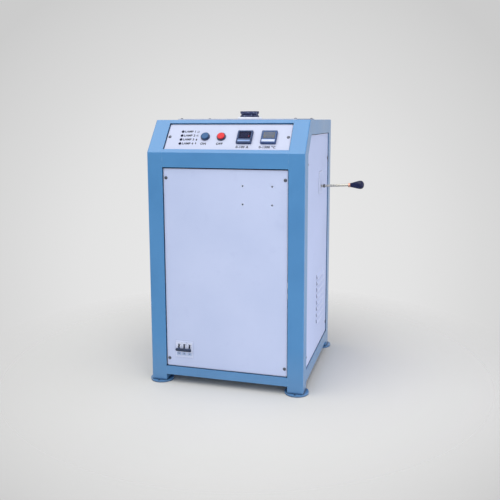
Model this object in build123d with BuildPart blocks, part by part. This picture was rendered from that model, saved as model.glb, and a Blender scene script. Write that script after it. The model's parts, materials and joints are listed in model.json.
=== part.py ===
from build123d import *
from math import cos, hypot, pi, radians, sin, tan
import os

# Electric gold melting furnace: a floor-standing induction furnace for small gold melts.
# Millimetres. The origin is the centre of the footprint on the floor, +Z is up and the
# control console faces -Y. A side lever on +X lifts the crucible out of its coil.

os.makedirs("parts", exist_ok=True)

# ---------------------------------------------------------------- driving sizes: cabinet
width = 500.0
depth = 500.0
height = 844.0
rake_rise = 99.0  # height of the raked console above the bend in the front
slope_setback = 82.0  # how far the rake leans back over its height
tube = 50.0  # frame tube, outside
tube_wall = 2.0
tube_round = 3.0  # where two outer faces of the cabinet meet
small_chamfer = 1.0
edge_tolerance = 0.01
rake_depth = 43.0  # raked leg, measured square to its face
slope_band = 13.0  # frame left showing above and below the console panel
cross_rail_height = 46.0
rail_underside = 27.0
front_rail_height = 28.0
side_rail_height = 40.0
foot_radius = 38.0
foot_thickness = 6.0
anchor_hole_radius = 4.0
anchor_edge = 2.5  # metal left between an anchor hole and the foot's rim

# ---------------------------------------------------------------- driving sizes: panels
sheet = 1.5
panel_recess = 5.0  # front, console and rear panels behind the faces of the frame
side_recess = 3.0  # side panels behind the faces of the frame
panel_gap = 2.0
panel_corner = 4.0
tab_thickness = 2.0
tab_length = 22.0
tab_height = 24.0
screw_radius = 2.0
screw_clearance = 0.3
screw_head_radius = 4.2
screw_head_height = 2.4
screw_head_sides = 12
screw_shank_sides = 6
screw_hole_sides = 8
screw_length = 9.0
screw_inset = 10.0  # screw axis from the side of the frame opening
board_screw_inset = 18.0  # top board screws from the front and rear of its opening
front_screw_rise = 26.0  # screws above the lower edge of the frame opening
front_screw_drop = 33.0  # and below its upper edge
side_screw_rise = 37.0
side_screw_drop = 89.0
louvre_count = 8
louvre_pitch = 22.0
louvre_height = 15.0
louvre_length = 116.0
louvre_proud = 6.0
louvre_bulge = 0.66  # share of the projection that the hood's curve has reached half way down
louvre_mid_height = 244.0
plate_hole_x = 104.0
plate_hole_drop = 226.0
plate_hole_width = 92.0
plate_hole_height = 56.0
plate_hole_radius = 2.0

# ---------------------------------------------------------------- driving sizes: console
meter_row = 62.0  # meters, measured up the rake
button_row = 64.5  # push buttons and panel screws
meter_size = 48.0
meter_proud = 7.0
meter_body = 44.6
meter_depth = 62.0
meter_cutout_clearance = 0.3
meter_corner = 2.0
window_width = 39.0
window_height = 27.0
window_rise = 7.0  # window centre above the meter centre
window_depth = 1.6
window_thickness = 1.0
ammeter_x = 55.0
controller_x = 131.0
key_width = 6.0
key_height = 3.2
key_pitch = 9.4
key_drop = 14.5  # key row below the meter centre
key_travel = 0.6
key_proud = 0.8
key_depth = 2.0
start_x = -72.4
stop_x = -20.5
collar_radius = 14.6
collar_height = 5.0
collar_top_radius = 13.9
cap_radius = 11.4
cap_height = 4.0
cap_chamfer = 1.0
cap_lift = 4.4  # underside of the cap above the panel
button_travel = 3.5
button_stem_radius = 7.0
button_neck_radius = 11.0
slide_clearance = 0.3  # round every button, key and cap
contact_block_size = 27.0
contact_block_depth = 32.0
stem_reach = 16.0  # stem below the panel at rest
lamp_x = -150.5
lamp_rows = (84.9, 69.4, 54.1, 38.4)
lamp_bezel_radius = 4.0
lamp_body_radius = 3.0
lamp_body_length = 18.0
lamp_bezel_height = 1.5
lamp_bezel_top_radius = 3.4
lamp_lens_height = 1.5
lamp_lens_top_radius = 1.9

# ---------------------------------------------------------------- driving sizes: breaker
module_width = 18.0
module_count = 3
breaker_inset = 61.0  # from the opening's -X edge
breaker_z = 115.0
breaker_nose_height = 45.0
breaker_height = 85.0
breaker_nose_depth = 17.0
breaker_depth = 62.0
breaker_nose_proud = 2.0
module_groove = 1.0  # line between neighbouring modules
breaker_window_width = 57.0
breaker_window_height = 52.0
toggle_slot_width = 6.0
toggle_slot_height = 26.0
toggle_slot_depth = 13.0
toggle_rise = 4.0  # toggle axis above the breaker's centre
toggle_axis_depth = 5.0  # toggle axis behind the nose
toggle_hub_radius = 5.5
toggle_root = 4.5  # half height of a toggle where it leaves its hub
toggle_reach = 15.0
toggle_swing = 30.0  # degrees each side of level
toggle_clearance = 0.5
tie_bar_radius = 13.0
tie_bar_thickness = 4.0
tie_bar_height = 10.5
tie_bar_rise = 2.6  # bar above the middle of the toggles
tie_bar_round = 3.5
tie_bar_inset = 1.0  # from the breaker's sides
rail_width = 35.0
rail_hat = 25.0
rail_depth = 7.5
rail_sheet = 1.0
rail_clearance = 0.3
rail_inset = 15.0
rail_run_length = 155.0
rail_leg_width = 20.0
rail_leg_foot = 24.0
contactor_inset = 132.0
contactor_width = 44.0
contactor_height = 74.0
contactor_set_back = 12.0  # its nose behind the breaker's
contactor_step = 14.0
contactor_terminal_depth = 10.0
contactor_terminal_width = 7.4
contactor_terminal_height = 9.2
contactor_terminal_rows = 56.0

# ---------------------------------------------------------------- driving sizes: melting well
well_y = 48.0
board_thickness = 6.0
board_proud = 3.0
collar_outer_radius = 41.0
collar_flange = 5.5
collar_bore_radius = 30.5
collar_spigot_radius = 35.0
board_hole_clearance = 0.5
crucible_rim_radius = 32.0
crucible_neck_radius = 28.0
crucible_body_radius = 28.5
crucible_base_bevel = 2.5
crucible_bore_radius = 23.0
crucible_rim_height = 8.2
crucible_rim_edge = 4.0  # straight part of the rim under its bevel
crucible_height = 90.0
crucible_floor = 12.0
crucible_floor_bevel = 4.0
rim_clearance = 0.3
lid_height = 11.4
lid_bevel = 4.5
lid_spigot = 5.0
lid_spigot_clearance = 1.0
lid_vent_radius = 3.0
pedestal_radius = 25.0
pedestal_height = 22.0
pedestal_socket = 8.0
pedestal_chamfer = 2.0
sleeve_inner_radius = 33.0
sleeve_wall = 4.0
deck_drop = 100.0  # top of the deck below the cabinet's top
deck_thickness = 6.0
deck_size = 176.0
standoff_spacing = 150.0
standoff_radius = 7.0
rod_hole_clearance = 1.0
coil_tube = 8.0
coil_gap = 2.0  # between the sleeve and the coil
coil_seat = 0.3  # coil above the deck
coil_turns = 6.5
coil_pitch = 12.5
coil_joint = 1.0  # overlap where the tails are brazed to the turns
coil_bends = 18  # short straights that make up each turn

# ---------------------------------------------------------------- driving sizes: lift
lever_half_swing = 13.0  # degrees each side of level for the inner arm
handle_rise = 3.0  # degrees the handle rises outward at rest
pivot_inset = 24.0  # from the cabinet's side
pivot_drop = 223.1  # below the cabinet's top
pivot_pin_radius = 5.0
running_clearance = 0.05
lever_hub_radius = 13.0
lever_hub_width = 16.0
lever_web_inset = 1.0  # web's round end inside the hub's
lever_arm_thickness = 8.0
lever_eye_radius = 9.0
cross_pin_radius = 5.0
cross_pin_slot_clearance = 0.6
cross_pin_end_clearance = 0.5  # at each end of its slot
pin_head = 3.0
pivot_head_radius = 8.0
cross_head_radius = 7.5
boss_radius = 6.5
boss_reach = 17.0
rod_radius = 4.0
rod_socket = 9.0
rod_reach = 115.0  # bare rod, from the pivot to the lock nut
lock_nut_flats = 13.0
lock_nut_length = 7.0
knob_length = 45.0
knob_neck_radius = 7.0
knob_radius = 14.0
knob_end_length = 12.0
knob_steps = 4  # cones that make up the round end of the knob
slot_plate_width = 68.0
slot_plate_height = 74.0
slot_plate_drop = 209.0
slot_plate_thickness = 2.0
slot_width = 11.0
slot_clearance = 2.0
bracket_sheet = 4.0
bracket_width = 28.0
bracket_gap = 0.4
mid_rail_width = 30.0
mid_rail_height = 30.0
beam_drop = 140.0  # top of the mid rails below the cabinet's top
beam_width = 50.0
beam_height = 20.0
beam_wall = 3.0
lift_rod_radius = 8.0
bush_radius = 13.0
bush_flange_radius = 19.0
bush_flange = 5.0
bush_below = 3.0  # bush below the beam's underside
bush_above = 12.0
yoke_width = 38.0
yoke_depth = 30.0
yoke_above = 26.0  # yoke above the cross pin
yoke_below = 17.0
yoke_roof = 9.0

# ---------------------------------------------------------------- driving sizes: power unit
tray_thickness = 2.0
tray_slot_y = -50.0
tray_slot_pitch = 22.0
tray_slot_count = 4
tray_slot_length = 200.0
tray_slot_width = 6.0
transformer_x = -158.0
transformer_width = 76.0
transformer_depth = 84.0
transformer_height = 66.0
transformer_window = 12.0
transformer_window_height = 39.6
core_depth = 50.4
winding_height = 38.0
winding_corner = 6.0
capacitor_x = -120.0
capacitor_y = 60.0
capacitor_pitch = 32.0
capacitor_thickness = 28.0
capacitor_length = 110.0
capacitor_height = 92.0
capacitor_count = 4
case_corner = 3.0  # capacitors, power modules and boards
bus_thickness = 3.0
stud_radius = 4.0
stud_height = 9.0
sink_x = 80.0
sink_y = 50.0
sink_width = 180.0
sink_length = 150.0
sink_base = 9.0
fin_height = 36.0
fin_thickness = 3.0
fin_count = 12
module_length = 94.0
module_broad = 48.0
module_height = 24.0
module_pitch = 62.0
module_bus_length = 106.0
module_bus_width = 19.0
circuit_width = 150.0
circuit_length = 116.0
circuit_sheet = 1.6
circuit_post = 36.0
circuit_post_inset = 4.0
relay_width = 30.0
relay_length = 44.0
relay_height = 22.0
relay_places = ((-45.0, 0.0), (15.0, -20.0))  # from the middle of the circuit board
smoothing_x = 45.0
smoothing_pitch = (18.0, 24.0)
smoothing_columns = 2
smoothing_rows = 3
smoothing_radius = 7.0
smoothing_height = 26.0
terminal_strip_y = 42.0
terminal_strip_length = 120.0
terminal_strip_depth = 9.0
terminal_strip_height = 12.0
fan_size = 120.0
fan_depth = 38.0
fan_x = 60.0
fan_z = 200.0
fan_bore_radius = 57.0
fan_tip_clearance = 2.5
fan_hub_radius = 20.0
fan_blades = 7
fan_slot_pitch = 11.0
fan_slot_width = 6.0
fan_guard_margin = 3.0
fan_screw_spacing = 105.0
fan_strut_width = 5.0
fan_strut_depth = 3.0
fan_shaft_radius = 3.0
fan_rotor_gap = 1.0
fan_hub_front = 6.0  # hub behind the fan's outer face
fan_blade_thickness = 1.6
fan_blade_angle = 38.0
fan_blade_trim = 3.0  # blade shorter than the hub, measured along its slant
fitting_z = 120.0
fitting_insets = (140.0, 100.0)  # from the opening's -X edge
tail_radius = 6.0
tail_length = 26.0
tail_bore = 4.0
fitting_nut_flats = 22.0
fitting_nut = 8.0
gland_inset = 50.0
gland_z = 100.0
gland_bore = 6.5
gland_radius = 10.0
gland_nut_flats = 27.0
gland_nut = 7.0
gland_dome = 16.0
gland_dome_top_radius = 9.2
pipe_radius = 6.0
pipe_sides = 8
pipe_bend = 28.0
pipe_run_in = 48.5  # from the fittings to the first bend
pipe_above_pin = 60.0
pipe_lead_rise = 80.0

# ---------------------------------------------------------------- worked-out places
half_width = width / 2
front_y = -depth / 2
rear_y = depth / 2
opening_width = width - 2 * tube
half_opening = opening_width / 2
bend_height = height - rake_rise  # where the upright front turns into the raked console
slope_length = hypot(slope_setback, rake_rise)
front_open_low = rail_underside + front_rail_height
front_open_high = bend_height - cross_rail_height
side_open_low = rail_underside + side_rail_height
side_open_high = height - cross_rail_height
post_inner_y = front_y + tube
rear_inner_y = rear_y - tube
crown_y = front_y + slope_setback + tube  # rear edge of the frame's top front rail
screw_x = half_opening - screw_inset
front_screw_zs = (front_open_low + front_screw_rise, front_open_high - front_screw_drop)
side_screw_zs = (side_open_low + side_screw_rise, side_open_high - side_screw_drop)
breaker_x = breaker_inset - half_opening
rail_left = rail_inset - half_opening
rail_right = rail_left + rail_run_length
contactor_x = contactor_inset - half_opening
fitting_xs = [inset - half_opening for inset in fitting_insets]
gland_x = gland_inset - half_opening
pivot_x = half_width - pivot_inset
pivot_z = height - pivot_drop
deck_top = height - deck_drop
beam_seat = height - beam_drop
slot_plate_z = height - slot_plate_drop
plate_hole_z = height - plate_hole_drop
screw_hole_radius = screw_radius + screw_clearance

front_plane = Plane(origin=(0, front_y, 0), x_dir=(1, 0, 0), z_dir=(0, -1, 0))
slope_plane = Plane(
    origin=(0, front_y, bend_height), x_dir=(1, 0, 0), z_dir=(0, -rake_rise, slope_setback)
)
right_plane = Plane(origin=(half_width, 0, 0), x_dir=(0, 1, 0), z_dir=(1, 0, 0))
left_plane = Plane(origin=(-half_width, 0, 0), x_dir=(0, -1, 0), z_dir=(-1, 0, 0))
rear_plane = Plane(origin=(0, rear_y, 0), x_dir=(-1, 0, 0), z_dir=(0, 1, 0))
front_face = front_plane.offset(-panel_recess)
slope_face = slope_plane.offset(-panel_recess)
right_face = right_plane.offset(-side_recess)
left_face = left_plane.offset(-side_recess)
rear_face = rear_plane.offset(-panel_recess)
outer_planes = (
    front_plane, slope_plane, right_plane, left_plane, rear_plane, Plane.XY.offset(height)
)


def save(piece, name):
    """Label a finished sub-part and write its STEP file."""
    piece.part.label = name
    export_step(piece.part, f"parts/{name}.step")


def slope_point(along, inward=0.0):
    """(Y, Z) of a point some way up the rake and some way behind its face."""
    y = front_y + (along * slope_setback + inward * rake_rise) / slope_length
    z = bend_height + (along * rake_rise - inward * slope_setback) / slope_length
    return y, z


def rake_line_z(y):
    """Height at which the raked leg's inner face crosses a depth Y."""
    start_y, start_z = slope_point(0, rake_depth)
    return start_z + (y - start_y) * rake_rise / slope_setback


def rake_line_y(z):
    """Depth Y at which the raked leg's inner face crosses a height."""
    start_y, start_z = slope_point(0, rake_depth)
    return start_y + (z - start_z) * slope_setback / rake_rise


def behind_slope(point, y):
    """Where the line square to the rake through a point of it reaches a depth Y."""
    return y, point[1] - (y - point[0]) * slope_setback / rake_rise


def outer_edges(candidates):
    """Those edges along which two outer faces of the cabinet meet."""
    found = []
    for edge in candidates:
        heights = [plane.to_local_coords(edge.center()).Z for plane in outer_planes]
        if sum(abs(h) < edge_tolerance for h in heights) > 1:
            found.append(edge)
    return found


def outline(points):
    """A closed face through straight-sided points, in the sketch that is open."""
    Polygon(*points, align=None)


# ================================================================ frame
def post_outline(base):
    """Side view (Y, Z) of a front post whose foot stands at base."""
    return [
        (front_y, base),
        (front_y, bend_height),
        slope_point(slope_length),
        (crown_y, height),
        (crown_y, side_open_high),
        (rake_line_y(side_open_high), side_open_high),
        (post_inner_y, rake_line_z(post_inner_y)),
        (post_inner_y, base),
    ]


def front_post(low_x):
    """Front leg: upright, then raked back along the console. Hollow, open at the foot."""
    with BuildPart() as post:
        with BuildSketch(Plane.YZ.offset(low_x)):
            outline(post_outline(foot_thickness))
        extrude(amount=tube)
        fillet(outer_edges(edges()), tube_round)
        with BuildSketch(Plane.YZ.offset(low_x + tube_wall)):
            outline(post_outline(foot_thickness - 2 * tube_wall))
            offset(amount=-tube_wall, kind=Kind.INTERSECTION)
        extrude(amount=tube - 2 * tube_wall, mode=Mode.SUBTRACT)
    return post


def hollow_bar(plane, across, up, length):
    """Rectangular frame tube, drawn along the plane's normal from its origin."""
    with BuildSketch(plane) as section:
        Rectangle(across, up)
        Rectangle(across - 2 * tube_wall, up - 2 * tube_wall, mode=Mode.SUBTRACT)
    extrude(section.sketch, amount=length)


def along_x(x, y, z):
    """Plane for a tube that runs towards +X: across is Y, up is Z."""
    return Plane(origin=(x, y, z), x_dir=(0, 1, 0), z_dir=(1, 0, 0))


def along_y(x, y, z):
    """Plane for a tube that runs towards +Y: across is X, up is Z."""
    return Plane(origin=(x, y, z), x_dir=(-1, 0, 0), z_dir=(0, 1, 0))


post_x = half_width - tube / 2
post_y = rear_y - tube / 2

front_post_left = front_post(-half_width)
save(front_post_left, "front_post_left")
front_post_right = front_post(half_opening)
save(front_post_right, "front_post_right")

with BuildPart() as rear_posts:
    with BuildSketch(Plane.XY.offset(foot_thickness)):
        with Locations((-post_x, post_y), (post_x, post_y)):
            Rectangle(tube, tube)
    extrude(amount=height - foot_thickness)
    fillet(outer_edges(edges()), tube_round)
    with BuildSketch(Plane.XY.offset(foot_thickness)):
        with Locations((-post_x, post_y), (post_x, post_y)):
            Rectangle(tube - 2 * tube_wall, tube - 2 * tube_wall)
    extrude(amount=height - foot_thickness - tube_wall, mode=Mode.SUBTRACT)
save(rear_posts, "rear_posts")

with BuildPart() as feet:
    with BuildSketch(Plane.XY):
        with GridLocations(2 * post_x, 2 * post_y, 2, 2):
            Circle(foot_radius)
        anchor_y = post_y + foot_radius - anchor_edge - anchor_hole_radius
        with GridLocations(2 * post_x, 2 * anchor_y, 2, 2):
            Circle(anchor_hole_radius, mode=Mode.SUBTRACT)
    extrude(amount=foot_thickness)
save(feet, "feet")

with BuildPart() as bottom_rails:
    end_rail_z = rail_underside + front_rail_height / 2
    side_rail_z = rail_underside + side_rail_height / 2
    for rail_y in (-post_y, post_y):
        hollow_bar(along_x(-half_opening, rail_y, end_rail_z), tube, front_rail_height, opening_width)
    for rail_x in (-post_x, post_x):
        hollow_bar(along_y(rail_x, post_inner_y, side_rail_z), tube, side_rail_height, depth - 2 * tube)
save(bottom_rails, "bottom_rails")

with BuildPart() as top_rails:
    top_rail_z = height - cross_rail_height / 2
    for rail_x in (-post_x, post_x):
        hollow_bar(along_y(rail_x, crown_y, top_rail_z), tube, cross_rail_height, rear_inner_y - crown_y)
    hollow_bar(along_x(-half_opening, post_y, top_rail_z), tube, cross_rail_height, opening_width)
    fillet(outer_edges(edges()), tube_round)
save(top_rails, "top_rails")


def front_cross_rail(section):
    """Closed folded section between the front posts, hollow from end to end."""
    with BuildSketch(Plane.YZ.offset(-half_opening)) as outside:
        outline(section)
    extrude(outside.sketch, amount=opening_width)
    with BuildSketch(Plane.YZ.offset(-half_opening)) as inside:
        outline(section)
        offset(amount=-tube_wall, kind=Kind.INTERSECTION)
    extrude(inside.sketch, amount=opening_width, mode=Mode.SUBTRACT)


with BuildPart() as front_cross_rails:
    console_foot = slope_point(slope_band)
    console_head = slope_point(slope_length - slope_band)
    head_back = slope_point(slope_length - slope_band, rake_depth)
    front_cross_rail(
        [
            (front_y, front_open_high),
            (front_y, bend_height),
            console_foot,
            behind_slope(console_foot, post_inner_y),
            (post_inner_y, front_open_high),
        ]
    )
    front_cross_rail(
        [
            console_head,
            slope_point(slope_length),
            (crown_y, height),
            (crown_y, side_open_high),
            (head_back[0], side_open_high),
            head_back,
        ]
    )
    fillet(outer_edges(edges()), tube_round)
save(front_cross_rails, "front_cross_rails")

mid_rail_x = half_width - side_recess - sheet - tab_thickness - panel_gap - mid_rail_width / 2
with BuildPart() as mid_rails:
    for rail_x in (-mid_rail_x, mid_rail_x):
        rail_start = along_y(rail_x, post_inner_y, beam_seat - mid_rail_height / 2)
        hollow_bar(rail_start, mid_rail_width, mid_rail_height, depth - 2 * tube)
save(mid_rails, "mid_rails")

# ================================================================ panels
front_screws = [(x, z) for x in (-screw_x, screw_x) for z in front_screw_zs]
slope_screws = [(x, button_row) for x in (-screw_x, screw_x)]
side_screw_y = rear_inner_y - screw_inset
side_screws = [(y, z) for y in (-side_screw_y, side_screw_y) for z in side_screw_zs]
rear_screws = [(x, z) for x in (-screw_x, screw_x) for z in side_screw_zs]
board_screw_ys = (crown_y + board_screw_inset, rear_inner_y - board_screw_inset)
board_screws = [(x, y) for x in (-screw_x, screw_x) for y in board_screw_ys]
board_top = height + board_proud
board_underside = board_top - board_thickness
board_plane = Plane.XY.offset(board_top)


def screw_holes(places):
    """Clearance holes under the panel screws' heads, in the sketch that is open."""
    with Locations(*places):
        RegularPolygon(screw_hole_radius, screw_hole_sides, mode=Mode.SUBTRACT)


def louvre(face, across, up):
    """One pressed louvre: a curved hood with closed ends over a slot, open at its lower edge."""
    crest = up + louvre_height / 2
    mouth = up - louvre_height / 2
    hood_end = face.from_local_coords((across + louvre_length / 2, 0, 0))
    section = Plane(origin=hood_end, x_dir=face.z_dir, z_dir=-face.x_dir)
    with BuildSketch(section) as hood:
        with BuildLine():
            ThreePointArc((0, crest), (louvre_proud * louvre_bulge, up + sheet), (louvre_proud, mouth))
            Polyline((louvre_proud, mouth), (0, mouth), (0, crest))
        make_face()
    extrude(hood.sketch, amount=louvre_length)
    cavity = louvre_proud - sheet
    with BuildSketch(section.offset(sheet)) as hollow:
        with BuildLine():
            ThreePointArc((0, crest - 2 * sheet), (cavity * louvre_bulge, up), (cavity, mouth))
            Polyline((cavity, mouth), (0, mouth), (0, crest - 2 * sheet))
        make_face()
        with Locations((-sheet / 2, up - sheet / 2)):
            Rectangle(sheet, louvre_height - 3 * sheet)
    extrude(hollow.sketch, amount=louvre_length - 2 * sheet, mode=Mode.SUBTRACT)


def side_panel(face, flip, hole_height=0.0, hole_z=0.0):
    """Side sheet that fills the frame's opening, its upper front corner cut along the rake.

    With hole_height set it also has the hole that the lever passes through.
    """
    side_opening = [
        (post_inner_y, side_open_low),
        (post_inner_y, rake_line_z(post_inner_y)),
        (rake_line_y(side_open_high), side_open_high),
        (rear_inner_y, side_open_high),
        (rear_inner_y, side_open_low),
    ]
    with BuildPart() as panel:
        with BuildSketch(face) as blank:
            outline([(flip * y, z) for y, z in side_opening])
            offset(amount=-panel_gap, kind=Kind.INTERSECTION)
            fillet(blank.vertices(), panel_corner)
            screw_holes([(flip * y, z) for y, z in side_screws])
            if hole_height:
                with Locations((flip * well_y, hole_z)):
                    Rectangle(slot_width + 2 * sheet, hole_height, mode=Mode.SUBTRACT)
        extrude(amount=-sheet)
        lowest = louvre_mid_height - louvre_pitch * (louvre_count - 1) / 2
        for row in range(louvre_count):
            louvre(face, flip * well_y, lowest + row * louvre_pitch)
    return panel


with BuildPart() as front_panel:
    with BuildSketch(front_face):
        with Locations((0, (front_open_low + front_open_high) / 2)):
            RectangleRounded(
                opening_width - 2 * panel_gap,
                front_open_high - front_open_low - 2 * panel_gap,
                panel_corner,
            )
        screw_holes(front_screws)
        with Locations((breaker_x, breaker_z)):
            Rectangle(breaker_window_width, breaker_window_height, mode=Mode.SUBTRACT)
        with Locations((plate_hole_x, plate_hole_z)):
            with GridLocations(plate_hole_width, plate_hole_height, 2, 2):
                Circle(plate_hole_radius, mode=Mode.SUBTRACT)
    extrude(amount=-sheet)
save(front_panel, "front_panel")

meter_cutout = meter_body + 2 * meter_cutout_clearance
with BuildPart() as control_panel:
    with BuildSketch(slope_face):
        with Locations((0, slope_length / 2)):
            RectangleRounded(
                opening_width - 2 * panel_gap,
                slope_length - 2 * slope_band - 2 * panel_gap,
                panel_corner,
            )
        screw_holes(slope_screws)
        with Locations((ammeter_x, meter_row), (controller_x, meter_row)):
            Rectangle(meter_cutout, meter_cutout, mode=Mode.SUBTRACT)
        with Locations((start_x, button_row), (stop_x, button_row)):
            Circle(button_neck_radius + screw_clearance, mode=Mode.SUBTRACT)
        with Locations(*[(lamp_x, row) for row in lamp_rows]):
            Circle(lamp_body_radius + screw_clearance, mode=Mode.SUBTRACT)
    extrude(amount=-sheet)
save(control_panel, "control_panel")

# The lever's swing sets the slot in the side.
handle_low = radians(2 * lever_half_swing - handle_rise)
slot_x = half_width - side_recess - pivot_x
slot_high = pivot_z + slot_x * tan(radians(handle_rise)) + rod_radius + slot_clearance
slot_low = pivot_z - slot_x * tan(handle_low) - rod_radius / cos(handle_low) - slot_clearance
slot_middle = (slot_high + slot_low) / 2
slot_length = slot_high - slot_low

left_panel = side_panel(left_face, -1)
save(left_panel, "left_panel")

right_panel = side_panel(right_face, 1, slot_length + 2 * sheet, slot_middle)
save(right_panel, "right_panel")

with BuildPart() as lever_slot_plate:
    with BuildSketch(right_face):
        with Locations((well_y, slot_plate_z)):
            RectangleRounded(slot_plate_width, slot_plate_height, panel_corner)
        with Locations((well_y, slot_middle)):
            SlotOverall(slot_length, slot_width, rotation=90, mode=Mode.SUBTRACT)
    extrude(amount=slot_plate_thickness)
    chamfer(faces().sort_by(Axis.X)[-1].outer_wire().edges(), slot_plate_thickness / 2)
save(lever_slot_plate, "lever_slot_plate")

fan_guard_radius = fan_bore_radius - fan_guard_margin
fan_screw_xs = (-fan_x - fan_screw_spacing / 2, -fan_x + fan_screw_spacing / 2)
fan_screw_zs = (fan_z - fan_screw_spacing / 2, fan_z + fan_screw_spacing / 2)
fan_corners = [(x, z) for x in fan_screw_xs for z in fan_screw_zs]
with BuildPart() as rear_panel:
    with BuildSketch(rear_face):
        with Locations((0, (front_open_low + side_open_high) / 2)):
            RectangleRounded(
                opening_width - 2 * panel_gap,
                side_open_high - front_open_low - 2 * panel_gap,
                panel_corner,
            )
        screw_holes(rear_screws + fan_corners)
        slots_each_side = int(fan_guard_radius / fan_slot_pitch)
        for step in range(-slots_each_side, slots_each_side + 1):
            shift = step * fan_slot_pitch
            chord = 2 * (fan_guard_radius**2 - shift**2) ** 0.5
            if chord > 2 * fan_slot_width:
                with Locations((-fan_x + shift, fan_z)):
                    SlotOverall(chord, fan_slot_width, rotation=90, mode=Mode.SUBTRACT)
        with Locations(*[(-x, fitting_z) for x in fitting_xs]):
            Circle(tail_radius + screw_clearance, mode=Mode.SUBTRACT)
        with Locations((-gland_x, gland_z)):
            Circle(gland_radius + screw_clearance, mode=Mode.SUBTRACT)
    extrude(amount=-sheet)
save(rear_panel, "rear_panel")

board_depth = rear_inner_y - crown_y - 2 * panel_gap
board_middle_y = (rear_inner_y + crown_y) / 2
with BuildPart() as top_board:
    with BuildSketch(board_plane):
        with Locations((0, board_middle_y)):
            RectangleRounded(opening_width - 2 * panel_gap, board_depth, panel_corner)
        with Locations((0, well_y)):
            Circle(collar_spigot_radius + board_hole_clearance, mode=Mode.SUBTRACT)
        screw_holes(board_screws)
    extrude(amount=-board_thickness)
save(top_board, "top_board")

with BuildPart() as bottom_tray:
    with BuildSketch(Plane.XY.offset(rail_underside)):
        Rectangle(opening_width, depth - 2 * tube)
        with Locations((0, tray_slot_y)):
            with GridLocations(0, tray_slot_pitch, 1, tray_slot_count):
                SlotOverall(tray_slot_length, tray_slot_width, mode=Mode.SUBTRACT)
    extrude(amount=tray_thickness)
save(bottom_tray, "bottom_tray")


def tabs(face, places, reach):
    """Welded tabs behind a panel. Each runs from its screw out to the frame tube at reach."""
    with BuildSketch(face) as plates:
        for across, up in places:
            side = 1 if across > 0 else -1
            with Locations((side * (reach - tab_length / 2), up)):
                Rectangle(tab_length, tab_height)
        screw_holes(places)
    extrude(plates.sketch, amount=-tab_thickness)


with BuildPart() as panel_tabs:
    tabs(front_face.offset(-sheet), front_screws, half_opening)
    tabs(slope_face.offset(-sheet), slope_screws, half_opening)
    tabs(right_face.offset(-sheet), side_screws, rear_inner_y)
    tabs(left_face.offset(-sheet), side_screws, rear_inner_y)
    tabs(rear_face.offset(-sheet), rear_screws, half_opening)
    tabs(board_plane.offset(-board_thickness), board_screws, half_opening)
save(panel_tabs, "panel_tabs")


def screws(face, places):
    """Pan-head screws standing on a panel's outer face."""
    with BuildSketch(face) as heads:
        with Locations(*places):
            RegularPolygon(screw_head_radius, screw_head_sides)
    extrude(heads.sketch, amount=screw_head_height)
    with BuildSketch(face) as shanks:
        with Locations(*places):
            RegularPolygon(screw_radius, screw_shank_sides)
    extrude(shanks.sketch, amount=-screw_length)


with BuildPart() as panel_screws:
    screws(front_face, front_screws)
    screws(slope_face, slope_screws)
    screws(right_face, side_screws)
    screws(left_face, side_screws)
    screws(rear_face, rear_screws + fan_corners)
    screws(board_plane, board_screws)
save(panel_screws, "panel_screws")

# ================================================================ console
standing = (Align.CENTER, Align.CENTER, Align.MIN)
meter_front = slope_face.offset(meter_proud)


def meter(across):
    """Panel meter: square bezel on the console, a window recess and the case behind it."""
    with BuildSketch(slope_face) as bezel:
        with Locations((across, meter_row)):
            RectangleRounded(meter_size, meter_size, meter_corner)
    extrude(bezel.sketch, amount=meter_proud)
    rim = faces().sort_by(Axis(slope_face.origin, slope_face.z_dir))[-1].outer_wire().edges()
    chamfer(rim, meter_corner / 2)
    with BuildSketch(meter_front) as window:
        with Locations((across, meter_row + window_rise)):
            RectangleRounded(window_width, window_height, meter_corner / 2)
    extrude(window.sketch, amount=-window_depth, mode=Mode.SUBTRACT)
    with BuildSketch(slope_face) as case:
        with Locations((across, meter_row)):
            Rectangle(meter_body, meter_body)
    extrude(case.sketch, amount=-meter_depth)


with BuildPart() as ammeter:
    meter(ammeter_x)
save(ammeter, "ammeter")

key_row = meter_row - key_drop
key_places = [(controller_x + (n - 1.5) * key_pitch, key_row) for n in range(4)]
key_well = key_depth - key_proud + key_travel + slide_clearance
with BuildPart() as temperature_controller:
    meter(controller_x)
    with BuildSketch(meter_front):
        with Locations(*key_places):
            Rectangle(key_width + 2 * slide_clearance, key_height + 2 * slide_clearance)
    extrude(amount=-key_well, mode=Mode.SUBTRACT)
save(temperature_controller, "temperature_controller")

with BuildPart() as meter_windows:
    with BuildSketch(meter_front.offset(-window_depth)):
        with Locations((ammeter_x, meter_row + window_rise), (controller_x, meter_row + window_rise)):
            pane_trim = 2 * running_clearance
            RectangleRounded(window_width - pane_trim, window_height - pane_trim, meter_corner / 2)
    extrude(amount=window_thickness)
save(meter_windows, "meter_windows")

for number, place in enumerate(key_places, start=1):
    with BuildPart() as controller_key:
        with BuildSketch(meter_front.offset(key_proud)):
            with Locations(place):
                RectangleRounded(key_width, key_height, key_height / 5)
        extrude(amount=-key_depth)
    save(controller_key, f"controller_key_{number}")

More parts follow.
